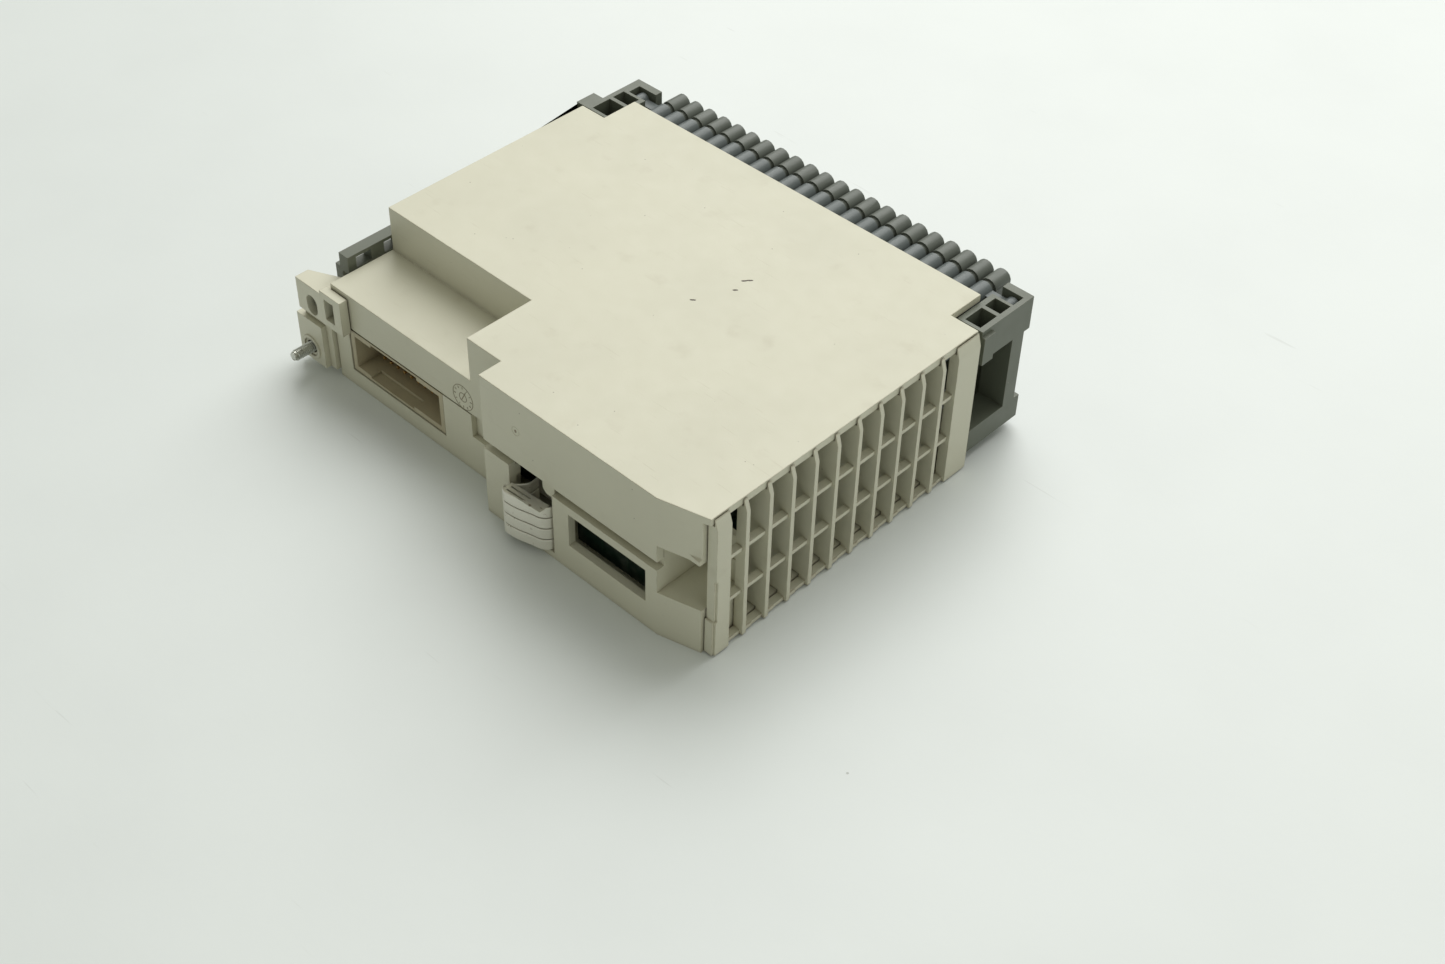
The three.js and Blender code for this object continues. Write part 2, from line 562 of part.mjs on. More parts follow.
// ---- lower shell with the mounting ear ----
function ovalSlot() {
  const low = EAR_SLOT_Z - EAR_SLOT_STRAIGHT / 2;
  const high = EAR_SLOT_Z + EAR_SLOT_STRAIGHT / 2;
  return join(
    box(EAR_SLOT_X - EAR_SLOT_RADIUS, EAR_SLOT_X + EAR_SLOT_RADIUS, 0, EAR_ROOT + OVERRUN, low, high),
    rodY(EAR_SLOT_X, low, EAR_SLOT_RADIUS, 0, EAR_ROOT + OVERRUN),
    rodY(EAR_SLOT_X, high, EAR_SLOT_RADIUS, 0, EAR_ROOT + OVERRUN),
  );
}

function ear() {
  const plan = [[-EAR_REACH, EAR_REAR], [-GAP, EAR_REAR], [-GAP, EAR_ROOT], [-EAR_REACH, EAR_FRONT]];
  const block = prism(plan, EAR_BOTTOM, EAR_TOP);
  const root = box(-GAP - BITE, WALL, EAR_REAR + EAR_ROOT_RELIEF, EAR_ROOT,
    EAR_BOTTOM, LEFT_SEAM_Z - OVERRUN);
  const bossStart = -OVERRUN;
  const boss = box(bossStart, bossStart + BOSS_LENGTH, EAR_REAR - SLIP, REAR_STEP - GAP,
    EAR_UPPER_START, EAR_TOP + BOSS_RISE);
  const ring = rodY(SCREW_X, SCREW_Z, RING_RADIUS, EAR_REAR - RING_RISE, EAR_REAR + BITE, 24);
  const grooveStart = -GAP - EAR_ROOT_GROOVE;
  return cut(
    join(block, root, boss, ring),
    ovalSlot(),
    box(-EAR_REACH - OVERRUN, -EAR_REACH + EAR_TIP_CUT, 0, EAR_ROOT, PAD_TOP, EAR_TOP + OVERRUN),
    box(-EAR_REACH - OVERRUN, grooveStart, 0, EAR_REAR + PAD_RELIEF, PAD_TOP, EAR_UPPER_START),
    box(grooveStart, -GAP, 0, EAR_REAR + PAD_RELIEF, 0, EAR_UPPER_START),
    bossHole(),
    rodY(SCREW_X, SCREW_Z, COUNTERBORE_RADIUS, 0, EAR_REAR, 24),
    rodY(SCREW_X, SCREW_Z, CAPTIVE_HOLE, 0, EAR_ROOT + OVERRUN, 24),
  );
}

// The lip stands inside the groove between the two shells.
function seamLip() {
  const lipInset = WALL + LIP_SLACK;
  return cut(
    join(
      prism(inset(caseOutline(), lipInset), SEAM_Z - LIP_RISE, SEAM_Z + LIP_RISE),
      prism(inset(caseOutline(), WALL - BITE), SEAM_Z - LIP_RISE - OVERRUN, SEAM_Z - OVERRUN),
    ),
    prism(inset(caseOutline(), lipInset + LIP), 0, WIDTH),
    box(-OVERRUN, STEP_X + WALL + OVERRUN, -OVERRUN, CASE_DEPTH, 0, WIDTH),
    box(-OVERRUN, CASE_HEIGHT, WALL + LIP + OVERRUN, CASE_DEPTH, 0, WIDTH),
  );
}

// Shelf, side and back of the grip pocket.
function pocketWalls() {
  const start = FACET_START - RIB;
  const back = POCKET_DEPTH + RIB;
  const low = POCKET_BOTTOM - RIB;
  const underRoof = POCKET_TOP - GAP;
  return join(
    box(start, SHELL_END, 0, back, low, POCKET_BOTTOM),
    box(start, FACET_START, 0, back, low, SEAM_Z),
    box(start, FACET_START, WALL + LIP_SLACK, back, low, underRoof),
    box(start, SHELL_END, POCKET_DEPTH + LIP_SLACK, back, low, underRoof),
    box(start, SHELL_END, POCKET_DEPTH, back, low, SEAM_Z),
  );
}

// Everything behind the rear edge of the chamfered corner.
function outsideFacet() {
  const far = CASE_HEIGHT + OVERRUN;
  const near = FACET_START - OVERRUN;
  return prism([
    [near, -OVERRUN], [far, -OVERRUN], [far, facetY(far)], [FACET_START, 0], [near, 0],
  ], -OVERRUN, WIDTH);
}

function baseShell() {
  const tray = cut(
    prism(caseOutline(), 0, SEAM_Z),
    prism(inset(caseOutline(), WALL), WALL, SEAM_Z + OVERRUN),
  );
  const apron = box(EAR_NOTCH, CASE_HEIGHT - GRILLE_NOTCH, NOTCH_Y - OVERRUN, CASE_DEPTH, 0, WALL);
  const posts = pillarPlaces().map(([x, y]) => rodZ(x, y, POST_RADIUS, WALL - BITE, BOARD_Z - GAP / 2, 12));
  const rearOpening = (x0, x1, z0, z1) => box(x0, x1, -OVERRUN, WALL + LIP + OVERRUN, z0, z1);
  const notchEnd = STEP_X - HOOK_NOTCH_MARGIN;
  const shaped = cut(
    join(tray, seamLip(), apron, pocketWalls(), ...posts),
    box(FACET_START, SHELL_END + OVERRUN, -OVERRUN, POCKET_DEPTH, POCKET_BOTTOM, WIDTH),
    outsideFacet(),
    box(-OVERRUN, STEP_X, REAR_STEP - OVERRUN, NOTCH_Y + OVERRUN, LEFT_SEAM_Z, SEAM_Z + OVERRUN),
    box(CONNECTOR_X, CONNECTOR_X + CONNECTOR_LENGTH, REAR_STEP - OVERRUN, REAR_STEP + WALL + OVERRUN,
      CONNECTOR_Z, SEAM_Z + OVERRUN),
    rearOpening(WINDOW_END - WINDOW_LENGTH, WINDOW_END, WINDOW_BOTTOM, WINDOW_TOP),
    rearOpening(FINGER_SLOT_X, FINGER_SLOT_X + FINGER_SLOT_LENGTH, FINGER_Z - GAP, WIDTH),
    box(notchEnd - HOOK_NOTCH_LENGTH, notchEnd, REAR_STEP - OVERRUN, REAR_STEP + HOOK_NOTCH_DEPTH,
      LEFT_SEAM_Z - HOOK_NOTCH_HEIGHT, LEFT_SEAM_Z + OVERRUN),
    grilleOpening(POCKET_DEPTH + WALL, WALL, WIDTH),
    frontOpening(LEFT_SEAM_Z / 2, WIDTH),
  );
  return join(shaped, ear());
}

function pillarPlaces() {
  const left = BOARD_EDGE + POST_RADIUS + OVERRUN;
  const right = SHELL_END - BOARD_EDGE - POST_RADIUS - 2 * OVERRUN;
  const rear = PLATFORM_Y + 2 * (WALL + OVERRUN) + POST_RADIUS;
  const front = NOTCH_Y - BOARD_FRONT_GAP - POST_RADIUS - 2 * OVERRUN;
  return [[left, rear], [right, rear], [left, front], [FACET_START - POCKET_DEPTH, front]];
}

// ---- ventilation grille ----
function ventGrille() {
  const start = CASE_HEIGHT - GRILLE_THICKNESS;
  const end = NOTCH_Y - FRAME_END_GAP;
  const top = PANEL_Z - GAP;
  const postEnd = CORNER_POST_START + CORNER_POST_LENGTH;
  const lipX = PANEL_END + GAP;
  const profile = [
    [start, GRILLE_BOTTOM], [CASE_HEIGHT, GRILLE_BOTTOM], [CASE_HEIGHT, WIDTH - GAP - FIN_CHAMFER],
    [lipX, WIDTH - GAP], [lipX, top], [start, top],
  ];
  const railPitch = (top - GRILLE_BOTTOM) / RAIL_COUNT;
  const rails = Array.from({ length: RAIL_COUNT }, (_, i) => {
    const z = GRILLE_BOTTOM + i * railPitch;
    return box(start, start + RAIL_THICKNESS, CORNER_POST_START + OVERRUN, end - OVERRUN, z, z + RAIL_HEIGHT);
  });
  const pitch = (end - END_FRAME_WIDTH - postEnd) / (FIN_COUNT + 1 - FIN_LEAD);
  const finY = Array.from({ length: FIN_COUNT }, (_, i) => postEnd + pitch * (i + FIN_LEAD));
  const fins = finY.map((y) => prismY(profile, y, y + FIN_THICKNESS));
  const roots = finY.filter((y) => y > POCKET_DEPTH + RIB + GAP).map((y) =>
    box(start - FIN_ROOT, start + OVERRUN, y, y + FIN_THICKNESS, WALL + GAP, top));
  const feet = finY.map((y) => box(start, CASE_HEIGHT - FOOT_INSET, y, y + FIN_THICKNESS + FOOT_LENGTH,
    GRILLE_BOTTOM, GRILLE_BOTTOM + FOOT_HEIGHT));
  const post = prismY(profile, CORNER_POST_START, postEnd);
  const postStep = box(start, CASE_HEIGHT - BITE, CORNER_POST_START - BITE, CORNER_POST_START + OVERRUN,
    GRILLE_BOTTOM, POST_STEP_BOTTOM);
  const thinStretch = box(CASE_HEIGHT - BITE, CASE_HEIGHT + OVERRUN, CORNER_POST_START - OVERRUN,
    CORNER_POST_START + BITE, POST_STEP_BOTTOM, POST_STEP_TOP);
  const endFrame = prismY(profile, end - END_FRAME_WIDTH, end);
  return cut(join(post, postStep, endFrame, ...rails, ...fins, ...roots, ...feet), thinStretch);
}

// ---- bus connector ----
const connectorTop = LEFT_SEAM_Z - GAP;
const connectorMouth = REAR_STEP + CONNECTOR_SETBACK;
const connectorMiddleX = CONNECTOR_X + CONNECTOR_LENGTH / 2;
const connectorMiddleZ = (CONNECTOR_Z + GAP + connectorTop) / 2;
const connectorFloor = connectorMouth + CONNECTOR_DEPTH;

function busConnector() {
  const x0 = CONNECTOR_X + GAP;
  const x1 = CONNECTOR_X + CONNECTOR_LENGTH - GAP;
  const z0 = CONNECTOR_Z + GAP;
  const left = x0 + CONNECTOR_WALL;
  const right = x1 - CONNECTOR_WALL;
  const rear = connectorMouth - OVERRUN;
  return cut(
    box(x0, x1, connectorMouth, connectorFloor + CONNECTOR_WALL, z0, connectorTop),
    box(left, right, rear, connectorFloor, z0 + CONNECTOR_WALL, connectorTop - CONNECTOR_WALL),
    box(left + UPPER_KEY[0], right - UPPER_KEY[1], rear, connectorMouth + KEY_DEPTH,
      connectorMiddleZ, connectorTop - KEY_WALL),
    box(left + LOWER_KEY[0], right - LOWER_KEY[1], rear, connectorMouth + KEY_DEPTH,
      z0 + KEY_WALL, connectorMiddleZ),
  );
}

function busContacts() {
  const halfLength = (CONNECTOR_LENGTH - 2 * GAP) / 2 - CONNECTOR_WALL - GAP;
  const halfHeight = (connectorTop - CONNECTOR_Z - GAP) / 2 - CONNECTOR_WALL - GAP;
  const carrierFront = connectorFloor - GAP;
  const carrier = box(
    connectorMiddleX - halfLength, connectorMiddleX + halfLength,
    carrierFront - CARRIER_THICKNESS, carrierFront,
    connectorMiddleZ - halfHeight, connectorMiddleZ + halfHeight,
  );
  const pins = [];
  for (let row = 0; row < CONTACT_ROWS; row += 1) {
    for (let column = 0; column < CONTACT_COLUMNS; column += 1) {
      const x = connectorMiddleX + (column - (CONTACT_COLUMNS - 1) / 2) * CONTACT_PITCH;
      const z = connectorMiddleZ + (row - (CONTACT_ROWS - 1) / 2) * CONTACT_PITCH;
      pins.push(squarePin(x, z, CONTACT_SIZE, connectorMouth + CONTACT_RECESS, carrierFront - BITE));
    }
  }
  return join(carrier, ...pins);
}

// ---- earth contact ----
const fingerRoot = WALL + LIP + FINGER_ROOT;
const fingerZ = (i) => FINGER_Z + i * (FINGER_HEIGHT + FINGER_SPACE);
const stripRear = fingerRoot + FINGER_TRAVEL + STRIP_THICKNESS;

// One sprung strip: a loop that leans out of the slot, with both ends running back into the case.
function earthFinger(i) {
  const right = FINGER_SLOT_X + FINGER_SLOT_LENGTH - FINGER_THICKNESS - GAP;
  const left = FINGER_SLOT_X + FINGER_THICKNESS;
  const line = [
    [right, fingerRoot - 0.2], [right, 1], [right - 1.2, -0.9], [right - 4.2, -1.9],
    [left + 2.5, -FINGER_REACH], [left + 0.7, -FINGER_REACH + 0.2], [left, -FINGER_REACH + 1.1],
    [left + 0.7, -1], [left + 3.4, 2.4], [left + 3.4, fingerRoot - 1.2],
  ];
  return prism(ribbon(line, FINGER_THICKNESS), fingerZ(i), fingerZ(i) + FINGER_HEIGHT);
}

function earthStrip() {
  const x0 = FINGER_SLOT_X - OVERRUN;
  const x1 = FINGER_SLOT_X + FINGER_SLOT_LENGTH + 2 * OVERRUN;
  return join(
    box(x0, x1, stripRear, stripRear + STRIP_THICKNESS, PART_Z, FINGER_TOP),
    box(x0, x1, stripRear, stripRear + STRIP_FOOT, PART_Z, PART_Z + STRIP_THICKNESS),
  );
}

// ---- terminal row ----
const barrelX = (i) => ROW_START + TERMINAL_PITCH * (i + 0.5);
const tongueBottom = HEADER_Z + TONGUE_RISE;
const tongueTop = BARREL_Z - TONGUE_DROP;
const pinZ = (tongueBottom + tongueTop) / 2;
const cavityFloor = HEADER_REAR + CAVITY_FLOOR;
const pinTip = HEADER_FRONT - PIN_SETBACK;
const screwSeat = BARREL_FRONT - SCREW_RECESS - SCREW_HEAD_HEIGHT;

function plugSpan(plug) {
  const start = ROW_START + plug * POLES * TERMINAL_PITCH;
  return [start + GAP / 2, start + POLES * TERMINAL_PITCH - GAP / 2];
}

// A peg beyond one end of the row, with the bridge that joins it to the header. The side is 1 or -1.
function headerPeg(side) {
  const bracket = side > 0 ? BRACKET_X[0] : BRACKET_X[1];
  const end = side > 0 ? ROW_END : ROW_START;
  const x = bracket + side * PEG_INSET;
  const rear = HEADER_FRONT - PEG_LENGTH;
  const bridge = box(Math.min(end - side, x), Math.max(end - side, x), rear, HEADER_FRONT,
    BARREL_Z - BRIDGE_BELOW, BARREL_Z + BRIDGE_ABOVE);
  return join(bridge, rodY(x, BARREL_Z, PEG_RADIUS, rear, HEADER_FRONT + PEG_PROUD));
}

function terminalHeader() {
  const body = [box(ROW_START, ROW_END, HEADER_REAR, HEADER_FRONT, HEADER_Z, BARREL_Z)];
  const pins = [];
  for (let i = 0; i < POLES * PLUGS; i += 1) {
    body.push(rodY(barrelX(i), BARREL_Z, BARREL_RADIUS, HEADER_REAR, HEADER_FRONT, BARREL_SIDES));
    pins.push(squarePin(barrelX(i), pinZ, PIN_SIZE, HEADER_REAR - PIN_TAIL, pinTip));
  }
  const cavities = Array.from({ length: PLUGS }, (_, plug) => {
    const [x0, x1] = plugSpan(plug);
    return box(x0 + CAVITY_SIDE, x1 - CAVITY_SIDE, cavityFloor, HEADER_FRONT + OVERRUN,
      tongueBottom, tongueTop);
  });
  return join(cut(join(...body), ...cavities), ...pins, headerPeg(1), headerPeg(-1));
}

function terminalPlug(plug) {
  const [x0, x1] = plugSpan(plug);
  const head = box(x0, x1, PLUG_REAR, BARREL_FRONT - PLUG_FACE_STEP, HEADER_Z, BARREL_Z);
  const side = CAVITY_SIDE + GAP;
  const tongue = box(x0 + side, x1 - side, cavityFloor + TONGUE_END_SPACE, PLUG_REAR + BITE,
    tongueBottom + GAP, tongueTop - GAP);
  const added = [head, tongue];
  const holes = [];
  for (let k = 0; k < POLES; k += 1) {
    const x = barrelX(plug * POLES + k);
    added.push(
      rodY(x, BARREL_Z, BARREL_RADIUS - GAP / POLES, PLUG_REAR, BARREL_FRONT, BARREL_SIDES),
      rodY(x, BARREL_Z, NECK_RADIUS, HEADER_FRONT + GAP, PLUG_REAR + BITE, SCREW_SIDES),
    );
    holes.push(
      rodY(x, BARREL_Z, SCREW_HEAD_RADIUS + SCREW_ROOM, screwSeat, BARREL_FRONT + OVERRUN, SCREW_SIDES),
      rodY(x, BARREL_Z, SCREW_SHANK_RADIUS + SCREW_ROOM, screwSeat - SCREW_LENGTH - GAP, screwSeat + BITE,
        SHANK_SIDES),
      box(x - WIRE_HOLE / 2, x + WIRE_HOLE / 2, PLUG_REAR + OVERRUN, BARREL_FRONT + OVERRUN,
        HEADER_Z + WIRE_HOLE_RISE, HEADER_Z + WIRE_HOLE_RISE + WIRE_HOLE_HEIGHT),
      squarePin(x, pinZ, PIN_SIZE + 2 * PIN_ROOM, cavityFloor, pinTip + OVERRUN),
    );
  }
  return cut(join(...added), ...holes);
}

function terminalScrew(i) {
  const x = barrelX(i);
  const seat = screwSeat + SLIP;
  const top = seat + SCREW_HEAD_HEIGHT;
  const half = SCREW_SLOT_WIDTH / 2;
  return cut(
    join(
      rodY(x, BARREL_Z, SCREW_HEAD_RADIUS, seat, top, SCREW_SIDES),
      rodY(x, BARREL_Z, SCREW_SHANK_RADIUS, seat - SCREW_LENGTH, seat + BITE, SHANK_SIDES),
    ),
    box(x - BARREL_RADIUS, x + BARREL_RADIUS, top - SCREW_SLOT_DEPTH, top + OVERRUN,
      BARREL_Z - half, BARREL_Z + half),
  );
}

// ---- front frame with its two end brackets and the long arm ----
const flapStart = ROW_START + FLAP_MARGIN;
const flapEnd = ROW_END - FLAP_MARGIN;
const cardRear = HINGE_Y + KNUCKLE_RADIUS - FLAP_THICKNESS - CARD_GAP - CARD_THICKNESS;

// A box between two X values given in either order.
const span = (a, b, ...rest) => box(Math.min(a, b), Math.max(a, b), ...rest);

// One end bracket from its inner to its outer face.
function endBracket(inner, outer) {
  const away = Math.sign(outer - inner);
  const barBottom = FRAME_TOP - BRACKET_BAR;
  const legRear = PLATE_FRONT - LEG_LENGTH + OVERRUN;
  const wellEnds = [
    [WELL_START, WELL_START + WELL_LENGTH],
    [WELL_START + WELL_LENGTH + WELL_WEB, WELL_START + WELL_LENGTH + WELL_WEB + SECOND_WELL_LENGTH],
  ];
  const wells = wellEnds.map(([near, far]) => span(inner + away * WELL_WALL, outer - away * WELL_WALL,
    FRAME_REAR + near, FRAME_REAR + far, barBottom + WELL_FLOOR, FRAME_TOP + OVERRUN));
  const pegSocket = span(inner - away * OVERRUN, inner + away * (PEG_INSET + PEG_RADIUS + SOCKET_ROOM),
    HEADER_FRONT - PEG_LENGTH - SOCKET_ROOM, HEADER_FRONT + PEG_PROUD + SOCKET_ROOM,
    BARREL_Z - PEG_RADIUS - SOCKET_ROOM, FRAME_TOP + OVERRUN);
  return cut(
    join(
      span(inner, outer, FRAME_REAR, FRAME_FRONT, barBottom, FRAME_TOP),
      span(inner, outer, FRAME_REAR, FRAME_FRONT, FRAME_BOTTOM, FRAME_BOTTOM + LOWER_BAR),
      span(inner, outer, legRear, LEG_FRONT, FRAME_BOTTOM, FRAME_TOP),
      span(outer - away * BITE, outer + away * HOOK_RISE, FRAME_REAR, FRAME_REAR + HOOK_LENGTH,
        barBottom, FRAME_TOP - HOOK_DROP),
    ),
    ...wells,
    pegSocket,
  );
}

// The arm along the ear-end wall, and the tongue that it hooks into the ear's oval slot.
function longArm() {
  const inner = -ARM_OUTSET;
  const outer = inner - ARM_THICKNESS;
  const bar = box(outer, inner, ARM_REAR, FRAME_REAR + ARM_HEAD_LENGTH, ARM_BOTTOM, ARM_TOP);
  const head = box(outer, inner + BITE, FRAME_REAR, FRAME_REAR + ARM_HEAD_LENGTH, ARM_BOTTOM, FRAME_TOP);
  const windows = Array.from({ length: ARM_WINDOW_COUNT }, (_, i) => {
    const y = ARM_REAR + ARM_WINDOW_START + i * ARM_WINDOW_PITCH;
    return box(outer - OVERRUN, inner + OVERRUN, y, y + ARM_WINDOW_LENGTH,
      ARM_BOTTOM + ARM_WINDOW_WALL, ARM_TOP - ARM_WINDOW_WALL);
  });
  const tongueX = [EAR_SLOT_X - ARM_TONGUE_WIDTH / 2, EAR_SLOT_X + ARM_TONGUE_WIDTH / 2];
  const low = EAR_SLOT_Z - ARM_TONGUE_HEIGHT / 2;
  const drop = box(...tongueX, ARM_REAR, ARM_REAR + ARM_TONGUE_DEPTH, low, ARM_BOTTOM + OVERRUN);
  const tongue = box(...tongueX, ARM_TONGUE_REAR, ARM_REAR + OVERRUN, low, low + ARM_TONGUE_HEIGHT);
  return join(cut(bar, ...windows), head, drop, tongue);
}

function hingeLug(x0, x1) {
  return join(
    rodX(HINGE_Y, HINGE_Z, KNUCKLE_RADIUS, x0, x1),
    box(x0, x1, FRAME_FRONT - LUG_ROOT, HINGE_Y, HINGE_Z - LUG_BELOW, HINGE_Z + LUG_ABOVE),
  );
}

function frontFrame() {
  const plate = box(ROW_START - PLATE_LAP, ROW_END + PLATE_LAP, PLATE_FRONT - FRAME_PLATE, PLATE_FRONT,
    FRAME_BOTTOM, HEADER_Z - GAP);
  const guideSlot = box(guideStart - GUIDE_SLOT_ROOM, guideEnd + GUIDE_SLOT_ROOM,
    PLATE_FRONT - FRAME_PLATE - OVERRUN, PLATE_FRONT + OVERRUN,
    GUIDE_BOTTOM - GUIDE_SLOT_ROOM, GUIDE_BOTTOM + GUIDE_HEIGHT + GUIDE_SLOT_ROOM);
  return cut(
    join(
      endBracket(BRACKET_X[0], CASE_HEIGHT - BRACKET_OUTSET),
      endBracket(BRACKET_X[1], -ARM_OUTSET),
      plate,
      longArm(),
      hingeLug(ROW_START - LUG_LAP, flapStart - GAP),
      hingeLug(flapEnd + GAP, ROW_END + LUG_LAP),
    ),
    rodX(HINGE_Y, HINGE_Z, FLAP_PIN_RADIUS + SLIP, 0, CASE_HEIGHT),
    guideSlot,
  );
}

function labelFlap() {
  const plateRear = HINGE_Y + KNUCKLE_RADIUS - FLAP_THICKNESS;
  const lipRear = HINGE_Y - FLAP_LIP_REACH;
  const plate = box(flapStart, flapEnd, plateRear, plateRear + FLAP_THICKNESS, HINGE_Z, FLAP_TOP);
  const knuckle = rodX(HINGE_Y, HINGE_Z, KNUCKLE_RADIUS, flapStart, flapEnd);
  const lips = [flapStart, flapEnd - FLAP_LIP].map((x) =>
    box(x, x + FLAP_LIP, lipRear, plateRear + BITE, FLAP_LIP_START, FLAP_TOP));
  const catchEdge = box(flapStart, flapEnd, lipRear, plateRear + BITE, FLAP_TOP - CATCH_HEIGHT, FLAP_TOP);
  const bore = rodX(HINGE_Y, HINGE_Z, FLAP_PIN_RADIUS + SLIP, 0, CASE_HEIGHT);
  return cut(join(plate, knuckle, ...lips, catchEdge), bore);
}

function labelCard() {
  return box(flapStart + CARD_MARGIN, flapEnd - CARD_MARGIN, cardRear, cardRear + CARD_THICKNESS,
    FLAP_LIP_START, FLAP_TOP - CATCH_HEIGHT - GAP);
}

function flapPin() {
  return rodX(HINGE_Y, HINGE_Z, FLAP_PIN_RADIUS, ROW_START - PIN_END, ROW_END + PIN_END);
}

// ---- captive screw ----
// The front of the ear slopes, so the washer starts in front of the highest point under it.
const earSlope = EAR_ROOT - EAR_FRONT;
const washerRear = EAR_FRONT + earSlope * (SCREW_X + EAR_REACH + WASHER_RADIUS) / (EAR_REACH - GAP) + GAP;

function captiveWasher() {
  return cut(
    rodY(SCREW_X, SCREW_Z, WASHER_RADIUS, washerRear, washerRear + WASHER_THICKNESS, 20),
    rodY(SCREW_X, SCREW_Z, CAPTIVE_NECK + WASHER_SLIP, 0, washerRear + WASHER_THICKNESS + OVERRUN),
  );
}

function captiveScrew() {
  const seat = washerRear + WASHER_THICKNESS + WASHER_SLIP;
  const top = seat + CAPTIVE_HEAD_HEIGHT;
  const half = CAPTIVE_SLOT_WIDTH / 2;
  const threadEnd = EAR_REAR - BITE;
  return cut(
    join(
      rodY(SCREW_X, SCREW_Z, CAPTIVE_RADIUS, CAPTIVE_TIP + CAPTIVE_POINT, threadEnd),
      rodY(SCREW_X, SCREW_Z, CAPTIVE_RADIUS - CAPTIVE_POINT, CAPTIVE_TIP, CAPTIVE_TIP + OVERRUN),
      rodY(SCREW_X, SCREW_Z, CAPTIVE_NECK, threadEnd - BITE, seat + BITE),
      rodY(SCREW_X, SCREW_Z, CAPTIVE_HEAD_RADIUS, seat, top, 20),
    ),
    box(SCREW_X - RING_RADIUS, SCREW_X + RING_RADIUS, top - CAPTIVE_SLOT_DEPTH, top + OVERRUN,
      SCREW_Z - half, SCREW_Z + half),
  );
}

// ---- boards and what they carry ----
const boardEnd = SHELL_END - BOARD_EDGE;
const upperBoardRear = PLATFORM_Y + WALL + OVERRUN;
const guideRear = PLATE_FRONT - GUIDE_DEPTH + BITE;
const tallPart = UPPER_BOARD_Z - PART_HEADROOM;      // top of the parts under the upper board
const guideStart = LED_START - GUIDE_LAP;
const guideEnd = LED_START + LED_LENGTH + GUIDE_LAP;

function mainBoard() {
  return box(BOARD_EDGE, boardEnd, BOARD_REAR, NOTCH_Y - BOARD_FRONT_GAP, BOARD_Z, BOARD_TOP);
}

function upperBoard() {
  return box(BOARD_EDGE, boardEnd - UPPER_BOARD_CUT, upperBoardRear, HEADER_REAR - UPPER_BOARD_GAP - PIN_TAIL,
    UPPER_BOARD_Z, UPPER_BOARD_Z + BOARD_THICKNESS);
}

function filterBoard() {
  const rear = WALL + LIP + FILTER_GAP;
  const start = WINDOW_END - WINDOW_LENGTH - FILTER_LAP;
  return box(start, FACET_START - RIB - GAP, rear, rear + BOARD_THICKNESS,
    BOARD_TOP + FILTER_FOOT, SEAM_Z - FILTER_FOOT);
}

function heatSink() {
  const end = CASE_HEIGHT - GRILLE_THICKNESS - FIN_ROOT - SINK_END_GAP;
  const front = NOTCH_Y - SINK_FRONT_GAP;
  const rear = front - SINK_LENGTH;
  const ribStart = end - SINK_RIB_LENGTH;
  const ribCount = Math.floor((SINK_LENGTH - SINK_RIB) / SINK_RIB_PITCH) + 1;
  const ribs = Array.from({ length: ribCount }, (_, i) => {
    const y = rear + i * SINK_RIB_PITCH;
    return box(ribStart - BITE, end, y, y + SINK_RIB, PART_Z, tallPart);
  });
  return join(box(ribStart - SINK_BACK, ribStart, rear, front, PART_Z, tallPart), ...ribs);
}

// A block on the main board, by its place, its plan and the level of its top.
const block = (x, y, length, depth, top) => box(x, x + length, y, y + depth, PART_Z, top);

function fuse() {
  const y = NOTCH_Y - FUSE_SETBACK;
  const axis = PART_Z + FUSE_RISE;
  const clips = [FUSE_START + FUSE_CAP, FUSE_START + FUSE_LENGTH - FUSE_CAP - FUSE_CLIP].map((x) =>
    box(x, x + FUSE_CLIP, y - FUSE_RADIUS, y + FUSE_RADIUS, PART_Z, axis));
  return join(rodX(y, axis, FUSE_RADIUS, FUSE_START, FUSE_START + FUSE_LENGTH), ...clips);
}

function pillar(i) {
  const [x, y] = pillarPlaces()[i];
  const foot = BOARD_TOP + GAP / 2;
  const top = i === 1 ? foot + SHORT_PILLAR : UPPER_BOARD_Z - GAP / 2;
  return rodZ(x, y, PILLAR_RADIUS, foot, top, 6);
}

function capacitor(i) {
  const y = CAPACITOR_Y + i * (2 * CAPACITOR_RADIUS + CAPACITOR_SPACE);
  return rodZ(CAPACITOR_X, y, CAPACITOR_RADIUS, PART_Z, tallPart, 20);
}

// ---- assembly ----
addPiece('base_shell', baseShell(), BEIGE);
addPiece('side_cover', sideCover(), BEIGE);
addPiece('vent_grille', ventGrille(), BEIGE);
addPiece('bus_connector', busConnector(), TAN);
addPiece('bus_contacts', busContacts(), BRASS);
addPiece('earth_strip', earthStrip(), TIN);
for (let i = 0; i < FINGER_COUNT; i += 1) {
  addPiece(`earth_finger_${i + 1}`, earthFinger(i), TIN);
}
addPiece('front_frame', frontFrame(), OLIVE);
addPiece('terminal_header', terminalHeader(), SLATE);
for (let plug = 0; plug < PLUGS; plug += 1) {
  addPiece(`terminal_plug_${plug + 1}`, terminalPlug(plug), OLIVE);
}
for (let i = 0; i < POLES * PLUGS; i += 1) {
  addPiece(`terminal_screw_${String(i + 1).padStart(2, '0')}`, terminalScrew(i), ZINC);
}
addPiece('label_flap', labelFlap(), CLEAR);
addPiece('label_card', labelCard(), CARD);
addPiece('flap_pin', flapPin(), ZINC);
addPiece('captive_washer', captiveWasher(), ZINC);
addPiece('captive_screw', captiveScrew(), ZINC);
addPiece('main_board', mainBoard(), BOARD_GREEN);
addPiece('upper_board', upperBoard(), BOARD_GREEN);
addPiece('filter_board', filterBoard(), BOARD_GREEN);
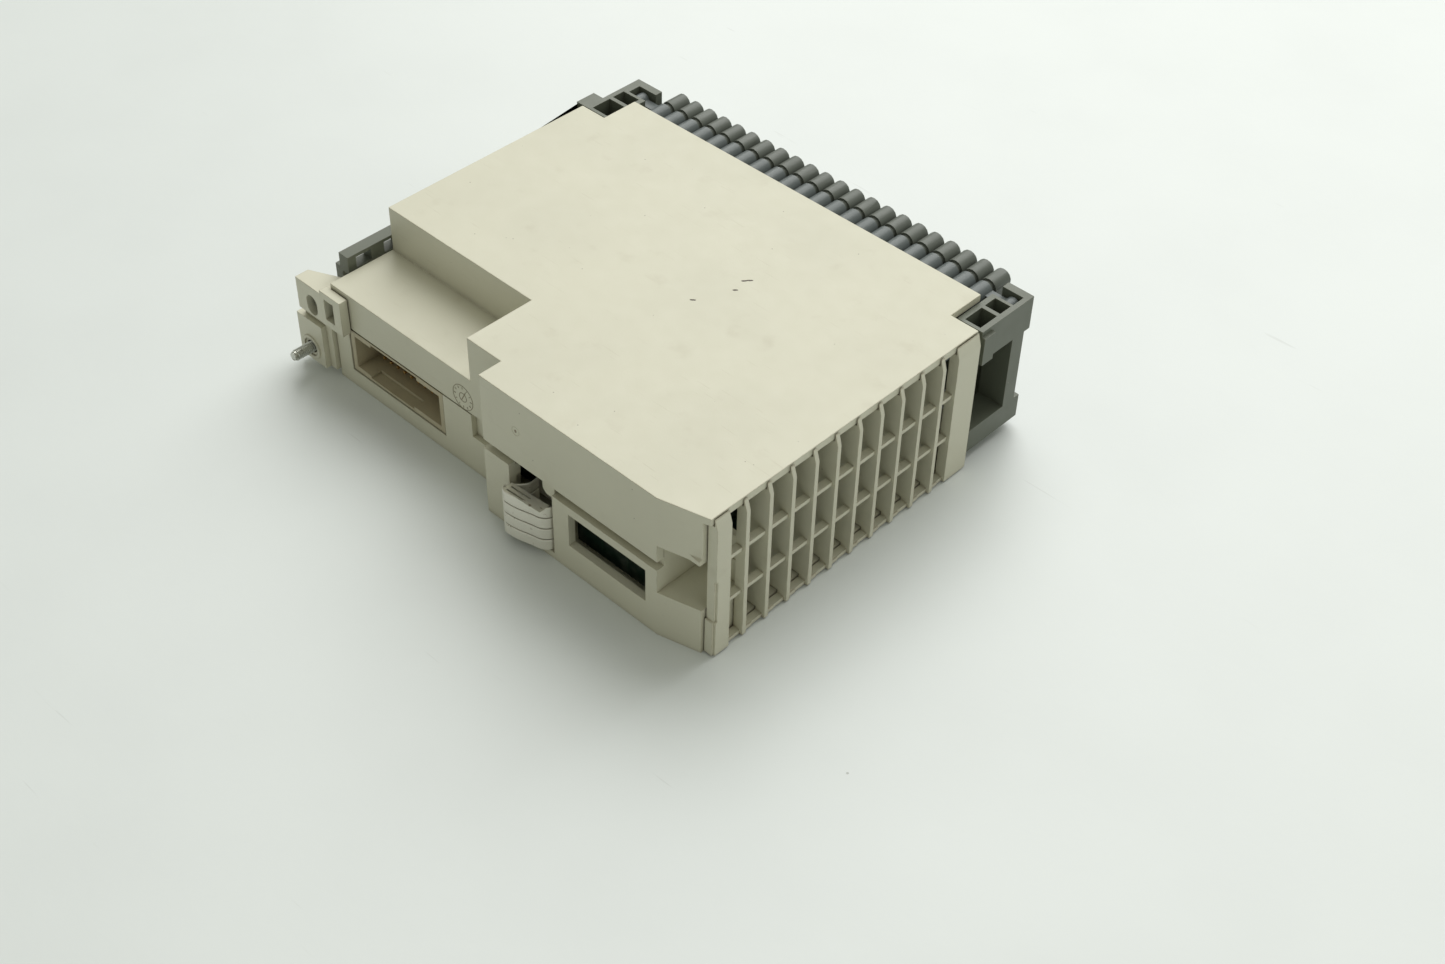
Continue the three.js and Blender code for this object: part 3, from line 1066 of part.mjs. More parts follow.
for (let i = 0; i < pillarPlaces().length; i += 1) {
  addPiece(`board_pillar_${i + 1}`, pillar(i), ZINC);
}
addPiece('heat_sink', heatSink(), ALUMINIUM);
addPiece('bus_chip', block(CHIP_X, CHIP_Y, CHIP_SIDE, CHIP_SIDE, PART_Z + CHIP_HEIGHT), BLACK);
addPiece('converter', block(CONVERTER_X, CONVERTER_Y, CONVERTER_LENGTH, CONVERTER_DEPTH,
  PART_Z + CONVERTER_HEIGHT), BLACK);
addPiece('capacitor_1', capacitor(0), BLACK);
addPiece('capacitor_2', capacitor(1), BLACK);
addPiece('board_link', block(LINK_X, LINK_Y, LINK_LENGTH, LINK_DEPTH, UPPER_BOARD_Z - GAP), BLACK);
addPiece('fuse', fuse(), CLEAR);
addPiece('led_bar', box(LED_START, LED_START + LED_LENGTH, guideRear - GAP - LED_DEPTH, guideRear - GAP,
  WALL + GAP, LED_TOP), BLACK);
addPiece('light_guide', box(guideStart, guideEnd, guideRear, guideRear + GUIDE_DEPTH,
  GUIDE_BOTTOM, GUIDE_BOTTOM + GUIDE_HEIGHT), CLEAR);

export default module;
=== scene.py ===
"""Looks of a plc module that lies on its plain side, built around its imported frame.

The frame gives every solid its place. Each class below takes the solids of one sub-assembly, softens their
edges, adds the small shapes that the frame leaves out, and gives every piece its finish.
Sizes are in millimetres unless a name says otherwise, and MM turns them into metres.
"""

import json
import logging
import math
import random
from dataclasses import dataclass, field, replace
from enum import Enum
from typing import Callable, Iterable, Sequence

import bmesh
import bpy
from mathutils import Matrix, Vector


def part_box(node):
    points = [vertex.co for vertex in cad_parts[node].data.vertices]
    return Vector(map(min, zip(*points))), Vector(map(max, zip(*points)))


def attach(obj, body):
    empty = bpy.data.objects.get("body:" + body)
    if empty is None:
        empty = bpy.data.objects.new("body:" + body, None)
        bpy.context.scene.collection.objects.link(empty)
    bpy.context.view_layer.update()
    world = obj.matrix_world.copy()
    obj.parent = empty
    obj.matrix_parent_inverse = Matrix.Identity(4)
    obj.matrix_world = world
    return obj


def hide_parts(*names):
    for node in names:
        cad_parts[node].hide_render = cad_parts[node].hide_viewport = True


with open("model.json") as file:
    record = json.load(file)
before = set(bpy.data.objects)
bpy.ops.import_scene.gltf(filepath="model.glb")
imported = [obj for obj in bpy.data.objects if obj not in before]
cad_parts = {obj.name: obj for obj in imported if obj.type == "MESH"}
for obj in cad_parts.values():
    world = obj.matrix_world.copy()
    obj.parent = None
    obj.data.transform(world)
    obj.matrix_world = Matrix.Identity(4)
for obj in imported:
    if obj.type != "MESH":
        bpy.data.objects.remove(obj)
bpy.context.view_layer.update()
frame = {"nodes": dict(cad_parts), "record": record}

MM = 0.001
BODY_OF = {
    node: body
    for body, nodes in frame["record"]["behaviour"]["bodies"].items()
    for node in nodes
}
REAR_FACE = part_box("base_shell")[0].y / MM
CONNECTOR_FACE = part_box("bus_connector")[0].y / MM - 0.2
SHARP_ANGLE = math.radians(40)
FLAT_ANGLE = math.radians(1)
MERGE_DISTANCE = 1e-6

Colour = tuple[float, float, float]
Socket = bpy.types.NodeSocket
Mesh = bmesh.types.BMesh

log = logging.getLogger("plc_module")


def mm(x: float, y: float, z: float) -> Vector:
    """A point or size given in millimetres, in metres."""
    return Vector((x, y, z)) * MM


def opaque(colour: Colour) -> tuple[float, float, float, float]:
    """The colour with full cover."""
    return (*colour, 1.0)


# ---- materials ----


class Shade:
    """A material under construction, with short calls for the nodes that the finishes share."""

    def __init__(self, name: str) -> None:
        """Starts a material whose patterns read Object coordinates.

        Args:
            name: name of the material.
        """
        self.material = bpy.data.materials.new(name)
        self.material.use_nodes = True
        self.nodes = self.material.node_tree.nodes
        self.links = self.material.node_tree.links
        self.shader = self.nodes["Principled BSDF"]
        self.place = self.nodes.new("ShaderNodeTexCoord").outputs["Object"]

    def feed(self, socket: Socket, value: object) -> None:
        """Links a socket to another one, or sets its value.

        Args:
            socket: input socket.
            value: output socket, number or colour.
        """
        if isinstance(value, bpy.types.NodeSocket):
            self.links.new(value, socket)
        else:
            socket.default_value = value

    def node(self, kind: str, inputs: dict, **settings: object) -> bpy.types.Node:
        """Adds a node.

        Args:
            kind: identifier of the node's type.
            inputs: values or sockets for its inputs, by name or index.
            **settings: properties of the node.

        Returns:
            The new node.
        """
        made = self.nodes.new(kind)
        for key, value in settings.items():
            setattr(made, key, value)
        for key, value in inputs.items():
            self.feed(made.inputs[key], value)
        return made

    def noise(
        self, size: float, detail: float = 2.0, stretch: Sequence[float] = (1, 1, 1), turn: float = 0.0,
    ) -> Socket:
        """A noise pattern.

        Args:
            size: width of its features in millimetres.
            detail: octaves of finer noise.
            stretch: how much finer the pattern is along each axis.
            turn: angle about the vertical, in degrees.

        Returns:
            The noise, from 0 to 1.
        """
        mapping = self.node(
            "ShaderNodeMapping",
            {"Vector": self.place, "Scale": tuple(stretch), "Rotation": (0, 0, math.radians(turn))},
        )
        made = self.node(
            "ShaderNodeTexNoise",
            {"Vector": mapping.outputs[0], "Scale": 1 / (size * MM), "Detail": detail},
        )
        return made.outputs["Fac"]

    def window(self, value: Socket, low: float, high: float) -> Socket:
        """Rises smoothly from 0 to 1 as the value goes from low to high.

        Args:
            value: value to read.
            low: value at which the result is 0.
            high: value at which it is 1.

        Returns:
            The result.
        """
        made = self.node(
            "ShaderNodeMapRange",
            {"Value": value, "From Min": low, "From Max": high},
            interpolation_type="SMOOTHSTEP",
        )
        return made.outputs[0]

    def maths(self, operation: str, a: object, b: object) -> Socket:
        """One step of arithmetic.

        Args:
            operation: name of the operation.
            a: first value or socket.
            b: second value or socket.

        Returns:
            The result, kept between 0 and 1.
        """
        return self.node("ShaderNodeMath", {0: a, 1: b}, operation=operation, use_clamp=True).outputs[0]

    def mix(self, share: object, below: object, above: object) -> Socket:
        """Mixes two colours.

        Args:
            share: how much of the second colour shows.
            below: first colour or socket.
            above: second colour or socket.

        Returns:
            The mixed colour.
        """
        made = self.node("ShaderNodeMix", {"Factor": share}, data_type="RGBA")
        self.feed(made.inputs["A"], below)
        self.feed(made.inputs["B"], above)
        return made.outputs["Result"]

    def edges(self, radius: float) -> Socket:
        """Marks the surface near edges and corners.

        Args:
            radius: reach of the mark in millimetres.

        Returns:
            1 on an edge and 0 on a flat face.
        """
        rounded = self.node("ShaderNodeBevel", {"Radius": radius * MM}, samples=4).outputs[0]
        plain = self.node("ShaderNodeNewGeometry", {}).outputs["Normal"]
        dot = self.node("ShaderNodeVectorMath", {0: rounded, 1: plain}, operation="DOT_PRODUCT")
        return self.window(self.maths("SUBTRACT", 1.0, dot.outputs["Value"]), 0.004, 0.09)

    def crevices(self, reach: float) -> Socket:
        """Marks grooves and inner corners by ambient occlusion: where grime gathers, where metal tarnishes
        and where plastic takes painted shade.

        Args:
            reach: how near another surface counts, in millimetres.

        Returns:
            1 deep in a groove and 0 on an open face.
        """
        occlusion = self.node("ShaderNodeAmbientOcclusion", {"Distance": reach * MM}, samples=4)
        return self.window(self.maths("SUBTRACT", 1.0, occlusion.outputs["AO"]), 0.38, 1.0)

    def specks(self, spacing: float, radius: float) -> Socket:
        """Small scattered dots.

        Args:
            spacing: mean distance between dots in millimetres.
            radius: radius of a dot as a share of the spacing.

        Returns:
            1 inside a dot.
        """
        cells = self.node(
            "ShaderNodeTexVoronoi", {"Vector": self.place, "Scale": 1 / (spacing * MM)}, feature="F1"
        )
        near = self.window(cells.outputs["Distance"], radius, radius * 0.5)
        chosen = self.window(cells.outputs["Color"], 0.55, 0.6)
        return self.maths("MULTIPLY", near, chosen)

    def relief(self, *layers: tuple[Socket, float]) -> None:
        """Adds bump from several patterns.

        Args:
            *layers: a pattern and its depth in millimetres.
        """
        normal = None
        for height, depth in layers:
            if not isinstance(height, bpy.types.NodeSocket):
                continue
            inputs = {"Height": height, "Distance": depth * MM, "Strength": 1.0}
            bump = self.node("ShaderNodeBump", inputs)
            if normal is not None:
                self.feed(bump.inputs["Normal"], normal)
            normal = bump.outputs[0]
        self.feed(self.shader.inputs["Normal"], normal)

    def set(self, **values: object) -> None:
        """Sets or links inputs of the shader, with _ for each space in a name."""
        for key, value in values.items():
            self.feed(self.shader.inputs[key.replace("_", " ")], value)


@dataclass(frozen=True)
class MouldedPlastic:
    """Moulded plastic with a fine spark-eroded grain, handling marks, dust, and grime and painted shade in
    its grooves.

    Attributes:
        colour: clean colour of the plastic.
        tinge: colour of its edges and, darkened, of the grime and painted shade in its grooves.
        roughness: mean roughness.
        grain: depth of the grain in millimetres.
        soiling_and_shade: how strongly smudges and grime show, and how dark the painted shade in grooves is.
        edge_tinge: how strongly edges take the tinge.
        speck_colour: colour of dust specks.
        reach: how near another surface must be for grime and painted shade to gather, in millimetres.
        nicks: centres of small dark nicks, in millimetres.
        nick_colour: colour inside a nick.
    """

    colour: Colour
    tinge: Colour
    roughness: float = 0.5
    grain: float = 0.012
    soiling_and_shade: float = 0.5
    edge_tinge: float = 0.5
    speck_colour: Colour = (0.16, 0.14, 0.1)
    reach: float = 3.0
    nicks: tuple[tuple[float, float, float], ...] = ()
    nick_colour: Colour = (0.07, 0.05, 0.03)

    def make(self, name: str) -> bpy.types.Material:
        """Builds the material.

        Args:
            name: name of the material.

        Returns:
            The material.
        """
        shade = Shade(name)
        duller = tuple(c * 0.955 for c in self.colour)
        colour = shade.mix(shade.window(shade.noise(30, 4), 0.3, 0.75), opaque(self.colour), opaque(duller))
        smudge = shade.maths("MULTIPLY", shade.window(shade.noise(7, 6), 0.58, 0.8), 0.14 * self.soiling_and_shade)
        colour = shade.mix(smudge, colour, opaque(self.tinge))
        scuff = shade.window(shade.noise(1.3, 2, (0.12, 3, 3), 27), 0.69, 0.74)
        colour = shade.mix(shade.maths("MULTIPLY", scuff, 0.12 * self.soiling_and_shade), colour, opaque(self.tinge))
        worn = shade.maths("MULTIPLY", shade.edges(0.35), shade.window(shade.noise(2.6, 4), 0.25, 0.62))
        colour = shade.mix(shade.maths("MULTIPLY", worn, self.edge_tinge), colour, opaque(self.tinge))
        # Grime and painted shade: ambient occlusion darkens grooves, seams and inner corners towards a darker
        # tinge.
        dirt_and_shade = shade.maths("MULTIPLY", shade.crevices(self.reach), self.soiling_and_shade)
        colour = shade.mix(dirt_and_shade, colour, opaque(tuple(c * 0.6 for c in self.tinge)))
        dust = shade.maths("MULTIPLY", shade.specks(4.2, 0.045), 0.7)
        colour = shade.mix(dust, colour, opaque(self.speck_colour))
        nicked = self.nicked(shade)
        colour = shade.mix(nicked, colour, opaque(self.nick_colour))
        shade.set(Base_Color=colour)
        satin = shade.node(
            "ShaderNodeMapRange",
            {"Value": shade.noise(5, 5), "To Min": self.roughness - 0.09, "To Max": self.roughness + 0.12},
        )
        shade.set(Roughness=satin.outputs[0])
        shade.relief(
            (shade.noise(0.32, 3), self.grain), (shade.noise(9, 2), 0.03), (scuff, -0.006), (nicked, -0.15),
        )
        return shade.material

    def nicked(self, shade: Shade) -> Socket | float:
        """Marks the nicks: ragged spots, longer than wide.

        Args:
            shade: material under construction.

        Returns:
            1 inside a nick, or plain 0 where the plastic has none.
        """
        total = 0.0
        ragged = shade.maths("MULTIPLY", shade.noise(0.7, 3), 1.2)
        for x, y, z in self.nicks:
            local = shade.node(
                "ShaderNodeMapping",
                {"Vector": shade.place, "Location": tuple(mm(x, y, z)), "Rotation": (0, 0, math.radians(42)),
                 "Scale": (0.8 * MM, 0.3 * MM, 1.0 * MM)},
                vector_type="TEXTURE",
            )
            length = shade.node("ShaderNodeVectorMath", {0: local.outputs[0]}, operation="LENGTH")
            inputs = {0: length.outputs["Value"], 1: ragged}
            far = shade.node("ShaderNodeMath", inputs, operation="ADD").outputs[0]
            total = shade.maths("MAXIMUM", shade.window(far, 1.55, 1.35), total)
        return total


@dataclass(frozen=True)
class PlatedMetal:
    """Bare or plated metal with fine drawn lines and tarnish.

    Attributes:
        colour: clean colour of the metal.
        tarnish: colour of the tarnish.
        roughness: mean roughness.
        tarnished: share of the surface that tarnish reaches, from 0 to 1.
        drawn: how much finer the drawn lines are along each axis.
        metallic: how far the surface is bare metal, from 0 to 1.
    """

    colour: Colour
    tarnish: Colour
    roughness: float = 0.3
    tarnished: float = 0.4
    drawn: tuple[float, float, float] = (1, 1, 6)
    metallic: float = 1.0

    def make(self, name: str) -> bpy.types.Material:
        """Builds the material.

        Args:
            name: name of the material.

        Returns:
            The material.
        """
        shade = Shade(name)
        start = 0.72 - 0.35 * self.tarnished
        patches = shade.window(shade.noise(1.5, 5), start, start + 0.16)
        colour = shade.mix(patches, opaque(self.colour), opaque(self.tarnish))
        gaps = shade.maths("MULTIPLY", shade.crevices(0.9), 1.6 * self.tarnished)
        colour = shade.mix(gaps, colour, opaque(self.tarnish))
        rough = shade.node(
            "ShaderNodeMapRange",
            {"Value": patches, "To Min": self.roughness, "To Max": self.roughness + 0.3},
        )
        shade.set(Base_Color=colour, Roughness=rough.outputs[0], Metallic=self.metallic)
        shade.relief((shade.noise(0.25, 2, self.drawn), 0.012), (shade.noise(1.8, 2), 0.03))
        return shade.material


@dataclass(frozen=True)
class SolderResist:
    """Coated circuit board with tracks that show through the coat.

    Attributes:
        colour: colour of the coat over the bare board.
        track: colour of the coat over copper.
        pitch: spacing of the tracks in millimetres.
    """

    colour: Colour
    track: Colour
    pitch: float = 2.5

    def make(self, name: str) -> bpy.types.Material:
        """Builds the material.

        Args:
            name: name of the material.

        Returns:
            The material.
        """
        shade = Shade(name)
        bricks = shade.node(
            "ShaderNodeTexBrick",
            {"Vector": shade.place, "Scale": 1 / (self.pitch * MM), "Mortar Size": 0.09, "Mortar Smooth": 0.1,
             "Brick Width": 3.2, "Row Height": 0.8},
        )
        tracks = bricks.outputs["Fac"]
        colour = shade.mix(tracks, opaque(self.colour), opaque(self.track))
        dust = shade.maths("MULTIPLY", shade.window(shade.noise(4, 5), 0.45, 0.8), 0.25)
        shade.set(Base_Color=shade.mix(dust, colour, opaque((0.3, 0.3, 0.26))), Roughness=0.34)
        shade.relief((tracks, 0.03), (shade.noise(0.8, 2), 0.01))
        return shade.material


@dataclass(frozen=True)
class PrintedCard:
    """Paper card with ruled fields for the user's own notes.

    Attributes:
        paper: colour of the card.
        ink: colour of the rules.
        field_length: length of a field in millimetres.
        field_height: height of a field in millimetres.
    """

    paper: Colour
    ink: Colour
    field_length: float = 10.0
    field_height: float = 5.4

    def make(self, name: str) -> bpy.types.Material:
        """Builds the material.

        Args:
            name: name of the material.

        Returns:
            The material.
        """
        shade = Shade(name)
        upright = shade.node(
            "ShaderNodeMapping", {"Vector": shade.place, "Rotation": (math.radians(-90), 0, 0)}
        )
        rules = shade.node(
            "ShaderNodeTexBrick",
            {"Vector": upright.outputs[0], "Scale": 1 / (self.field_height * MM), "Mortar Size": 0.03,
             "Brick Width": self.field_length / self.field_height, "Row Height": 1.0},
            offset=0.0,
        )
        fibres = shade.window(shade.noise(0.6, 4), 0.3, 0.75)
        paper = shade.mix(fibres, opaque(self.paper), opaque(tuple(c * 0.9 for c in self.paper)))
        shade.set(Base_Color=shade.mix(rules.outputs["Fac"], paper, opaque(self.ink)), Roughness=0.75)
        shade.relief((shade.noise(0.2, 3), 0.006))
        return shade.material


@dataclass(frozen=True)
class ClearPlastic:
    """Clear plastic or glass with a little dust on it.

    Attributes:
        colour: tint of the material.
        roughness: roughness of its surface.
    """

    colour: Colour
    roughness: float = 0.12

    def make(self, name: str) -> bpy.types.Material:
        """Builds the material.

        Args:
            name: name of the material.

        Returns:
            The material.
        """
        shade = Shade(name)
        film = shade.maths("MULTIPLY", shade.window(shade.noise(2, 4), 0.4, 0.8), 0.3)
        shade.set(
            Base_Color=shade.mix(film, opaque(self.colour), opaque((0.6, 0.6, 0.55))),
            Roughness=self.roughness, Transmission_Weight=0.75, IOR=1.49,
        )
        shade.relief((shade.noise(1.5, 2), 0.01))
        return shade.material


@dataclass(frozen=True)
class TableTop:
    """Pale lacquered board with scuffs and specks.

    Attributes:
        colour: clean colour.
        scuff: colour of the scuffs.
    """

    colour: Colour
    scuff: Colour

    def make(self, name: str) -> bpy.types.Material:
        """Builds the material.

        Args:
            name: name of the material.

        Returns:
            The material.
        """
        shade = Shade(name)
        cloud = shade.maths("MULTIPLY", shade.window(shade.noise(45, 5), 0.3, 0.8), 0.3)
        colour = shade.mix(cloud, opaque(self.colour), opaque(tuple(c * 0.9 for c in self.colour)))
        line = shade.window(shade.noise(3.5, 3, (0.12, 2, 1), 40), 0.72, 0.78)
        colour = shade.mix(shade.maths("MULTIPLY", line, 0.16), colour, opaque(self.scuff))
        colour = shade.mix(shade.maths("MULTIPLY", shade.specks(26, 0.015), 0.6), colour, opaque(self.scuff))
        shade.set(Base_Color=colour, Roughness=0.42)
        shade.relief((shade.noise(3, 4), 0.02))
        return shade.material


BEIGE = MouldedPlastic((0.665, 0.65, 0.52), (0.27, 0.205, 0.115), 0.46, soiling_and_shade=0.85)
PANEL_NICKS = ((17.1, -3.5, 40.6), (21.3, 5.95, 40.6), (20.4, 9.9, 40.6), (21.2, 10.9, 40.6))


class Finish(Enum):
    """Every finish of the module. Each value is the slot of the record and the recipe."""

    CASE = ("case_plastic", BEIGE)
    # Dark brown: a real stain on the ejector mark, and painted shade on the dial's moulded lines.
    CASE_STAIN_AND_SHADE = ("case_plastic", MouldedPlastic((0.3, 0.265, 0.17), (0.16, 0.11, 0.06), soiling_and_shade=0.8))
    PANEL = ("case_plastic", replace(BEIGE, nicks=PANEL_NICKS))
    FRAME = ("frame_plastic", MouldedPlastic((0.128, 0.142, 0.108), (0.2, 0.19, 0.14), 0.42, 0.015, 0.3, 0.35,
                                             (0.4, 0.39, 0.33)))
    PLUG = ("plug_plastic", MouldedPlastic((0.118, 0.132, 0.113), (0.26, 0.26, 0.21), 0.45, 0.012, 0.25, 0.4,
                                           (0.45, 0.44, 0.38)))
    HEADER = ("header_plastic", MouldedPlastic((0.118, 0.138, 0.138), (0.3, 0.3, 0.26), 0.4, 0.01, 0.25, 0.3,
                                               (0.45, 0.45, 0.4)))
    # Its long reach paints shade and grime deep into the recessed socket.
    CONNECTOR = ("connector_plastic", MouldedPlastic((0.5, 0.45, 0.31), (0.2, 0.14, 0.07), 0.4, 0.006, 1.0,
                                                     reach=7.0))
    PIN = ("contact_gold", PlatedMetal((0.62, 0.4, 0.14), (0.16, 0.08, 0.03), 0.35, 0.5))
    EARTH = ("earth_spring", PlatedMetal((0.86, 0.84, 0.75), (0.24, 0.18, 0.1), 0.3, 0.26, (0.3, 1, 1), 0.5))
    ZINC = ("zinc_steel", PlatedMetal((0.56, 0.57, 0.52), (0.18, 0.17, 0.12), 0.34, 0.35))
    BOARD = ("circuit_board", SolderResist((0.006, 0.017, 0.011), (0.011, 0.032, 0.018)))
    BLACK = ("component_black", MouldedPlastic((0.018, 0.018, 0.019), (0.09, 0.09, 0.085), 0.5, 0.02, 0.4,
                                               speck_colour=(0.3, 0.3, 0.28)))
    SLEEVE = ("capacitor_sleeve", MouldedPlastic((0.02, 0.025, 0.055), (0.12, 0.12, 0.13), 0.22, 0.003,
                                                 soiling_and_shade=0.3, edge_tinge=0.4))
    FLAP = ("flap_plastic", MouldedPlastic((0.08, 0.088, 0.085), (0.24, 0.24, 0.21), 0.2, 0.003, 0.3, 0.35,
                                           (0.4, 0.4, 0.36)))
    CARD = ("card", PrintedCard((0.78, 0.77, 0.7), (0.12, 0.14, 0.15)))
    SINK = ("dark_aluminium", PlatedMetal((0.1, 0.105, 0.11), (0.3, 0.3, 0.28), 0.42, 0.15, (1, 1, 5)))
    CLEAR = ("clear_part", ClearPlastic((0.82, 0.87, 0.83)))
    SOLDER = ("zinc_steel", PlatedMetal((0.66, 0.67, 0.66), (0.3, 0.29, 0.26), 0.24, 0.2))

    @property
    def slot(self) -> str:
        """The record's slot."""
        return self.value[0]

    def material(self) -> bpy.types.Material:
        """The finish's material, built the first time it is asked for."""
        name = self.name.lower()
        return bpy.data.materials.get(name) or self.value[1].make(name)


class Edge(Enum):
    """How far an edge is rounded, in millimetres."""

    CRISP = 0.07
    FINE = 0.13
    SOFT = 0.22
    BROAD = 0.4

    @property
    def width(self) -> float:
        """Width of the rounding in metres."""
        return self.value * MM


# ---- mesh work ----

EdgeTest = Callable[[bmesh.types.BMEdge], bool]


def any_edge(edge: bmesh.types.BMEdge) -> bool:
    """Takes every edge."""
    return True


def soften(mesh: Mesh, width: float, test: EdgeTest = any_edge, segments: int = 2) -> int:
    """Rounds the sharp edges that have room for it.

    Args:
        mesh: closed mesh to change.
        width: width of the rounding in metres.
        test: says whether an edge may be rounded.
        segments: faces across the rounding.

    Returns:
        How many edges were rounded.
    """
    room = 2.2 * width

    def has_room(edge: bmesh.types.BMEdge) -> bool:
        """Whether all the edges that meet this one's ends are long enough."""
        return all(near.calc_length() > room for vert in edge.verts for near in vert.link_edges)

    chosen = [
        edge for edge in mesh.edges
        if len(edge.link_faces) == 2 and edge.calc_face_angle(0.0) > SHARP_ANGLE
        and has_room(edge) and test(edge)
    ]
    if chosen:
        bmesh.ops.bevel(
            mesh, geom=chosen, offset=width, offset_type="OFFSET", segments=segments, profile=0.5,
            affect="EDGES", clamp_overlap=True, material=-1,
        )
    return len(chosen)


def merged(node: str) -> Mesh:
    """A welded copy of a frame solid, with its flat faces whole.

    Args:
        node: name of the solid.

    Returns:
        The copy, one closed mesh.
    """
    mesh = bmesh.new()
    mesh.from_mesh(frame["nodes"][node].data)
    bmesh.ops.remove_doubles(mesh, verts=mesh.verts, dist=MERGE_DISTANCE)
    bmesh.ops.dissolve_limit(
        mesh, angle_limit=FLAT_ANGLE, use_dissolve_boundaries=False, verts=mesh.verts, edges=mesh.edges,
    )
    return mesh


def add_box(mesh: Mesh, low: Vector, high: Vector, round_by: float = 0.0) -> None:
    """Adds a block to a mesh.

    Args:
        mesh: mesh to add to.
        low: lowest corner in metres.
        high: highest corner in metres.
        round_by: width of its rounded edges in metres.
    """
    size = high - low
    place = Matrix.Translation((low + high) / 2) @ Matrix.Diagonal((*size, 1))
    verts = bmesh.ops.create_cube(mesh, size=1, matrix=place)["verts"]
    if round_by:
        edges = list({edge for vert in verts for edge in vert.link_edges})
        bmesh.ops.bevel(
            mesh, geom=edges, offset=round_by, offset_type="OFFSET", segments=2, profile=0.5,
            affect="EDGES", clamp_overlap=True, material=-1,
        )


def add_ring(mesh: Mesh, centre: Vector, radius: float, thickness: float, steps: int = 48) -> None:
    """Adds a ring of round wire that faces Y, made by a full spin.

    Args:
        mesh: mesh to add to.
        centre: centre of the ring in metres.
        radius: radius of its middle line in metres.
        thickness: radius of the wire in metres.
        steps: faces round the ring.
    """
    start = Matrix.Translation(centre + Vector((radius, 0, 0)))
    circle = bmesh.ops.create_circle(mesh, cap_ends=False, segments=8, radius=thickness, matrix=start)
    section = circle["verts"]
    edges = list({edge for vert in section for edge in vert.link_edges})
    before = set(mesh.verts) - set(section)
    bmesh.ops.spin(
        mesh, geom=list(section) + edges, cent=centre, axis=Vector((0, 1, 0)), dvec=Vector((0, 0, 0)),
        angle=math.tau, steps=steps, use_merge=True, use_duplicate=False,
    )
    fresh = [vert for vert in mesh.verts if vert not in before]
    bmesh.ops.remove_doubles(mesh, verts=fresh, dist=MERGE_DISTANCE)
    ring = {face for vert in mesh.verts if vert not in before for face in vert.link_faces}
    bmesh.ops.recalc_face_normals(mesh, faces=list(ring))


def add_piece(
    name: str, mesh: Mesh, body: str, finish: Finish, stands_for: Iterable[str] = (),
) -> bpy.types.Object:
    """Turns a mesh into a finished piece that rides on a body.

    Args:
        name: name of the piece.
        mesh: its mesh, in metres in the row frame. It is freed.
        body: frame body that it moves with.
        finish: its finish.
        stands_for: frame solids that it replaces.

    Returns:
        The new object, at the origin.
    """
    for face in mesh.faces:
        face.smooth = True
    for edge in mesh.edges:
        edge.smooth = len(edge.link_faces) != 2 or edge.calc_face_angle(0.0) < SHARP_ANGLE
    data = bpy.data.meshes.new(name)
    mesh.to_mesh(data)
    mesh.free()
    piece = bpy.data.objects.new(name, data)
    bpy.context.scene.collection.objects.link(piece)
    data.materials.append(finish.material())
    normals = piece.modifiers.new("even_normals", "WEIGHTED_NORMAL")
    normals.keep_sharp = True
    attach(piece, body)
    for node in stands_for:
        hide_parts(node)
    return piece


def refine(node: str, edge: Edge, finish: Finish) -> bpy.types.Object:
    """A frame solid with softened edges and its finish.

    Args:
        node: name of the solid.
        edge: how far its edges are rounded.
        finish: its finish.

    Returns:
        The piece that stands for the solid.
    """
    mesh = merged(node)
    count = soften(mesh, edge.width)
    log.info("%s: %d edges rounded by %.2f mm", node, count, edge.value)
    return add_piece(f"{node}_shape", mesh, BODY_OF[node], finish, [node])


# ---- sub-assemblies ----


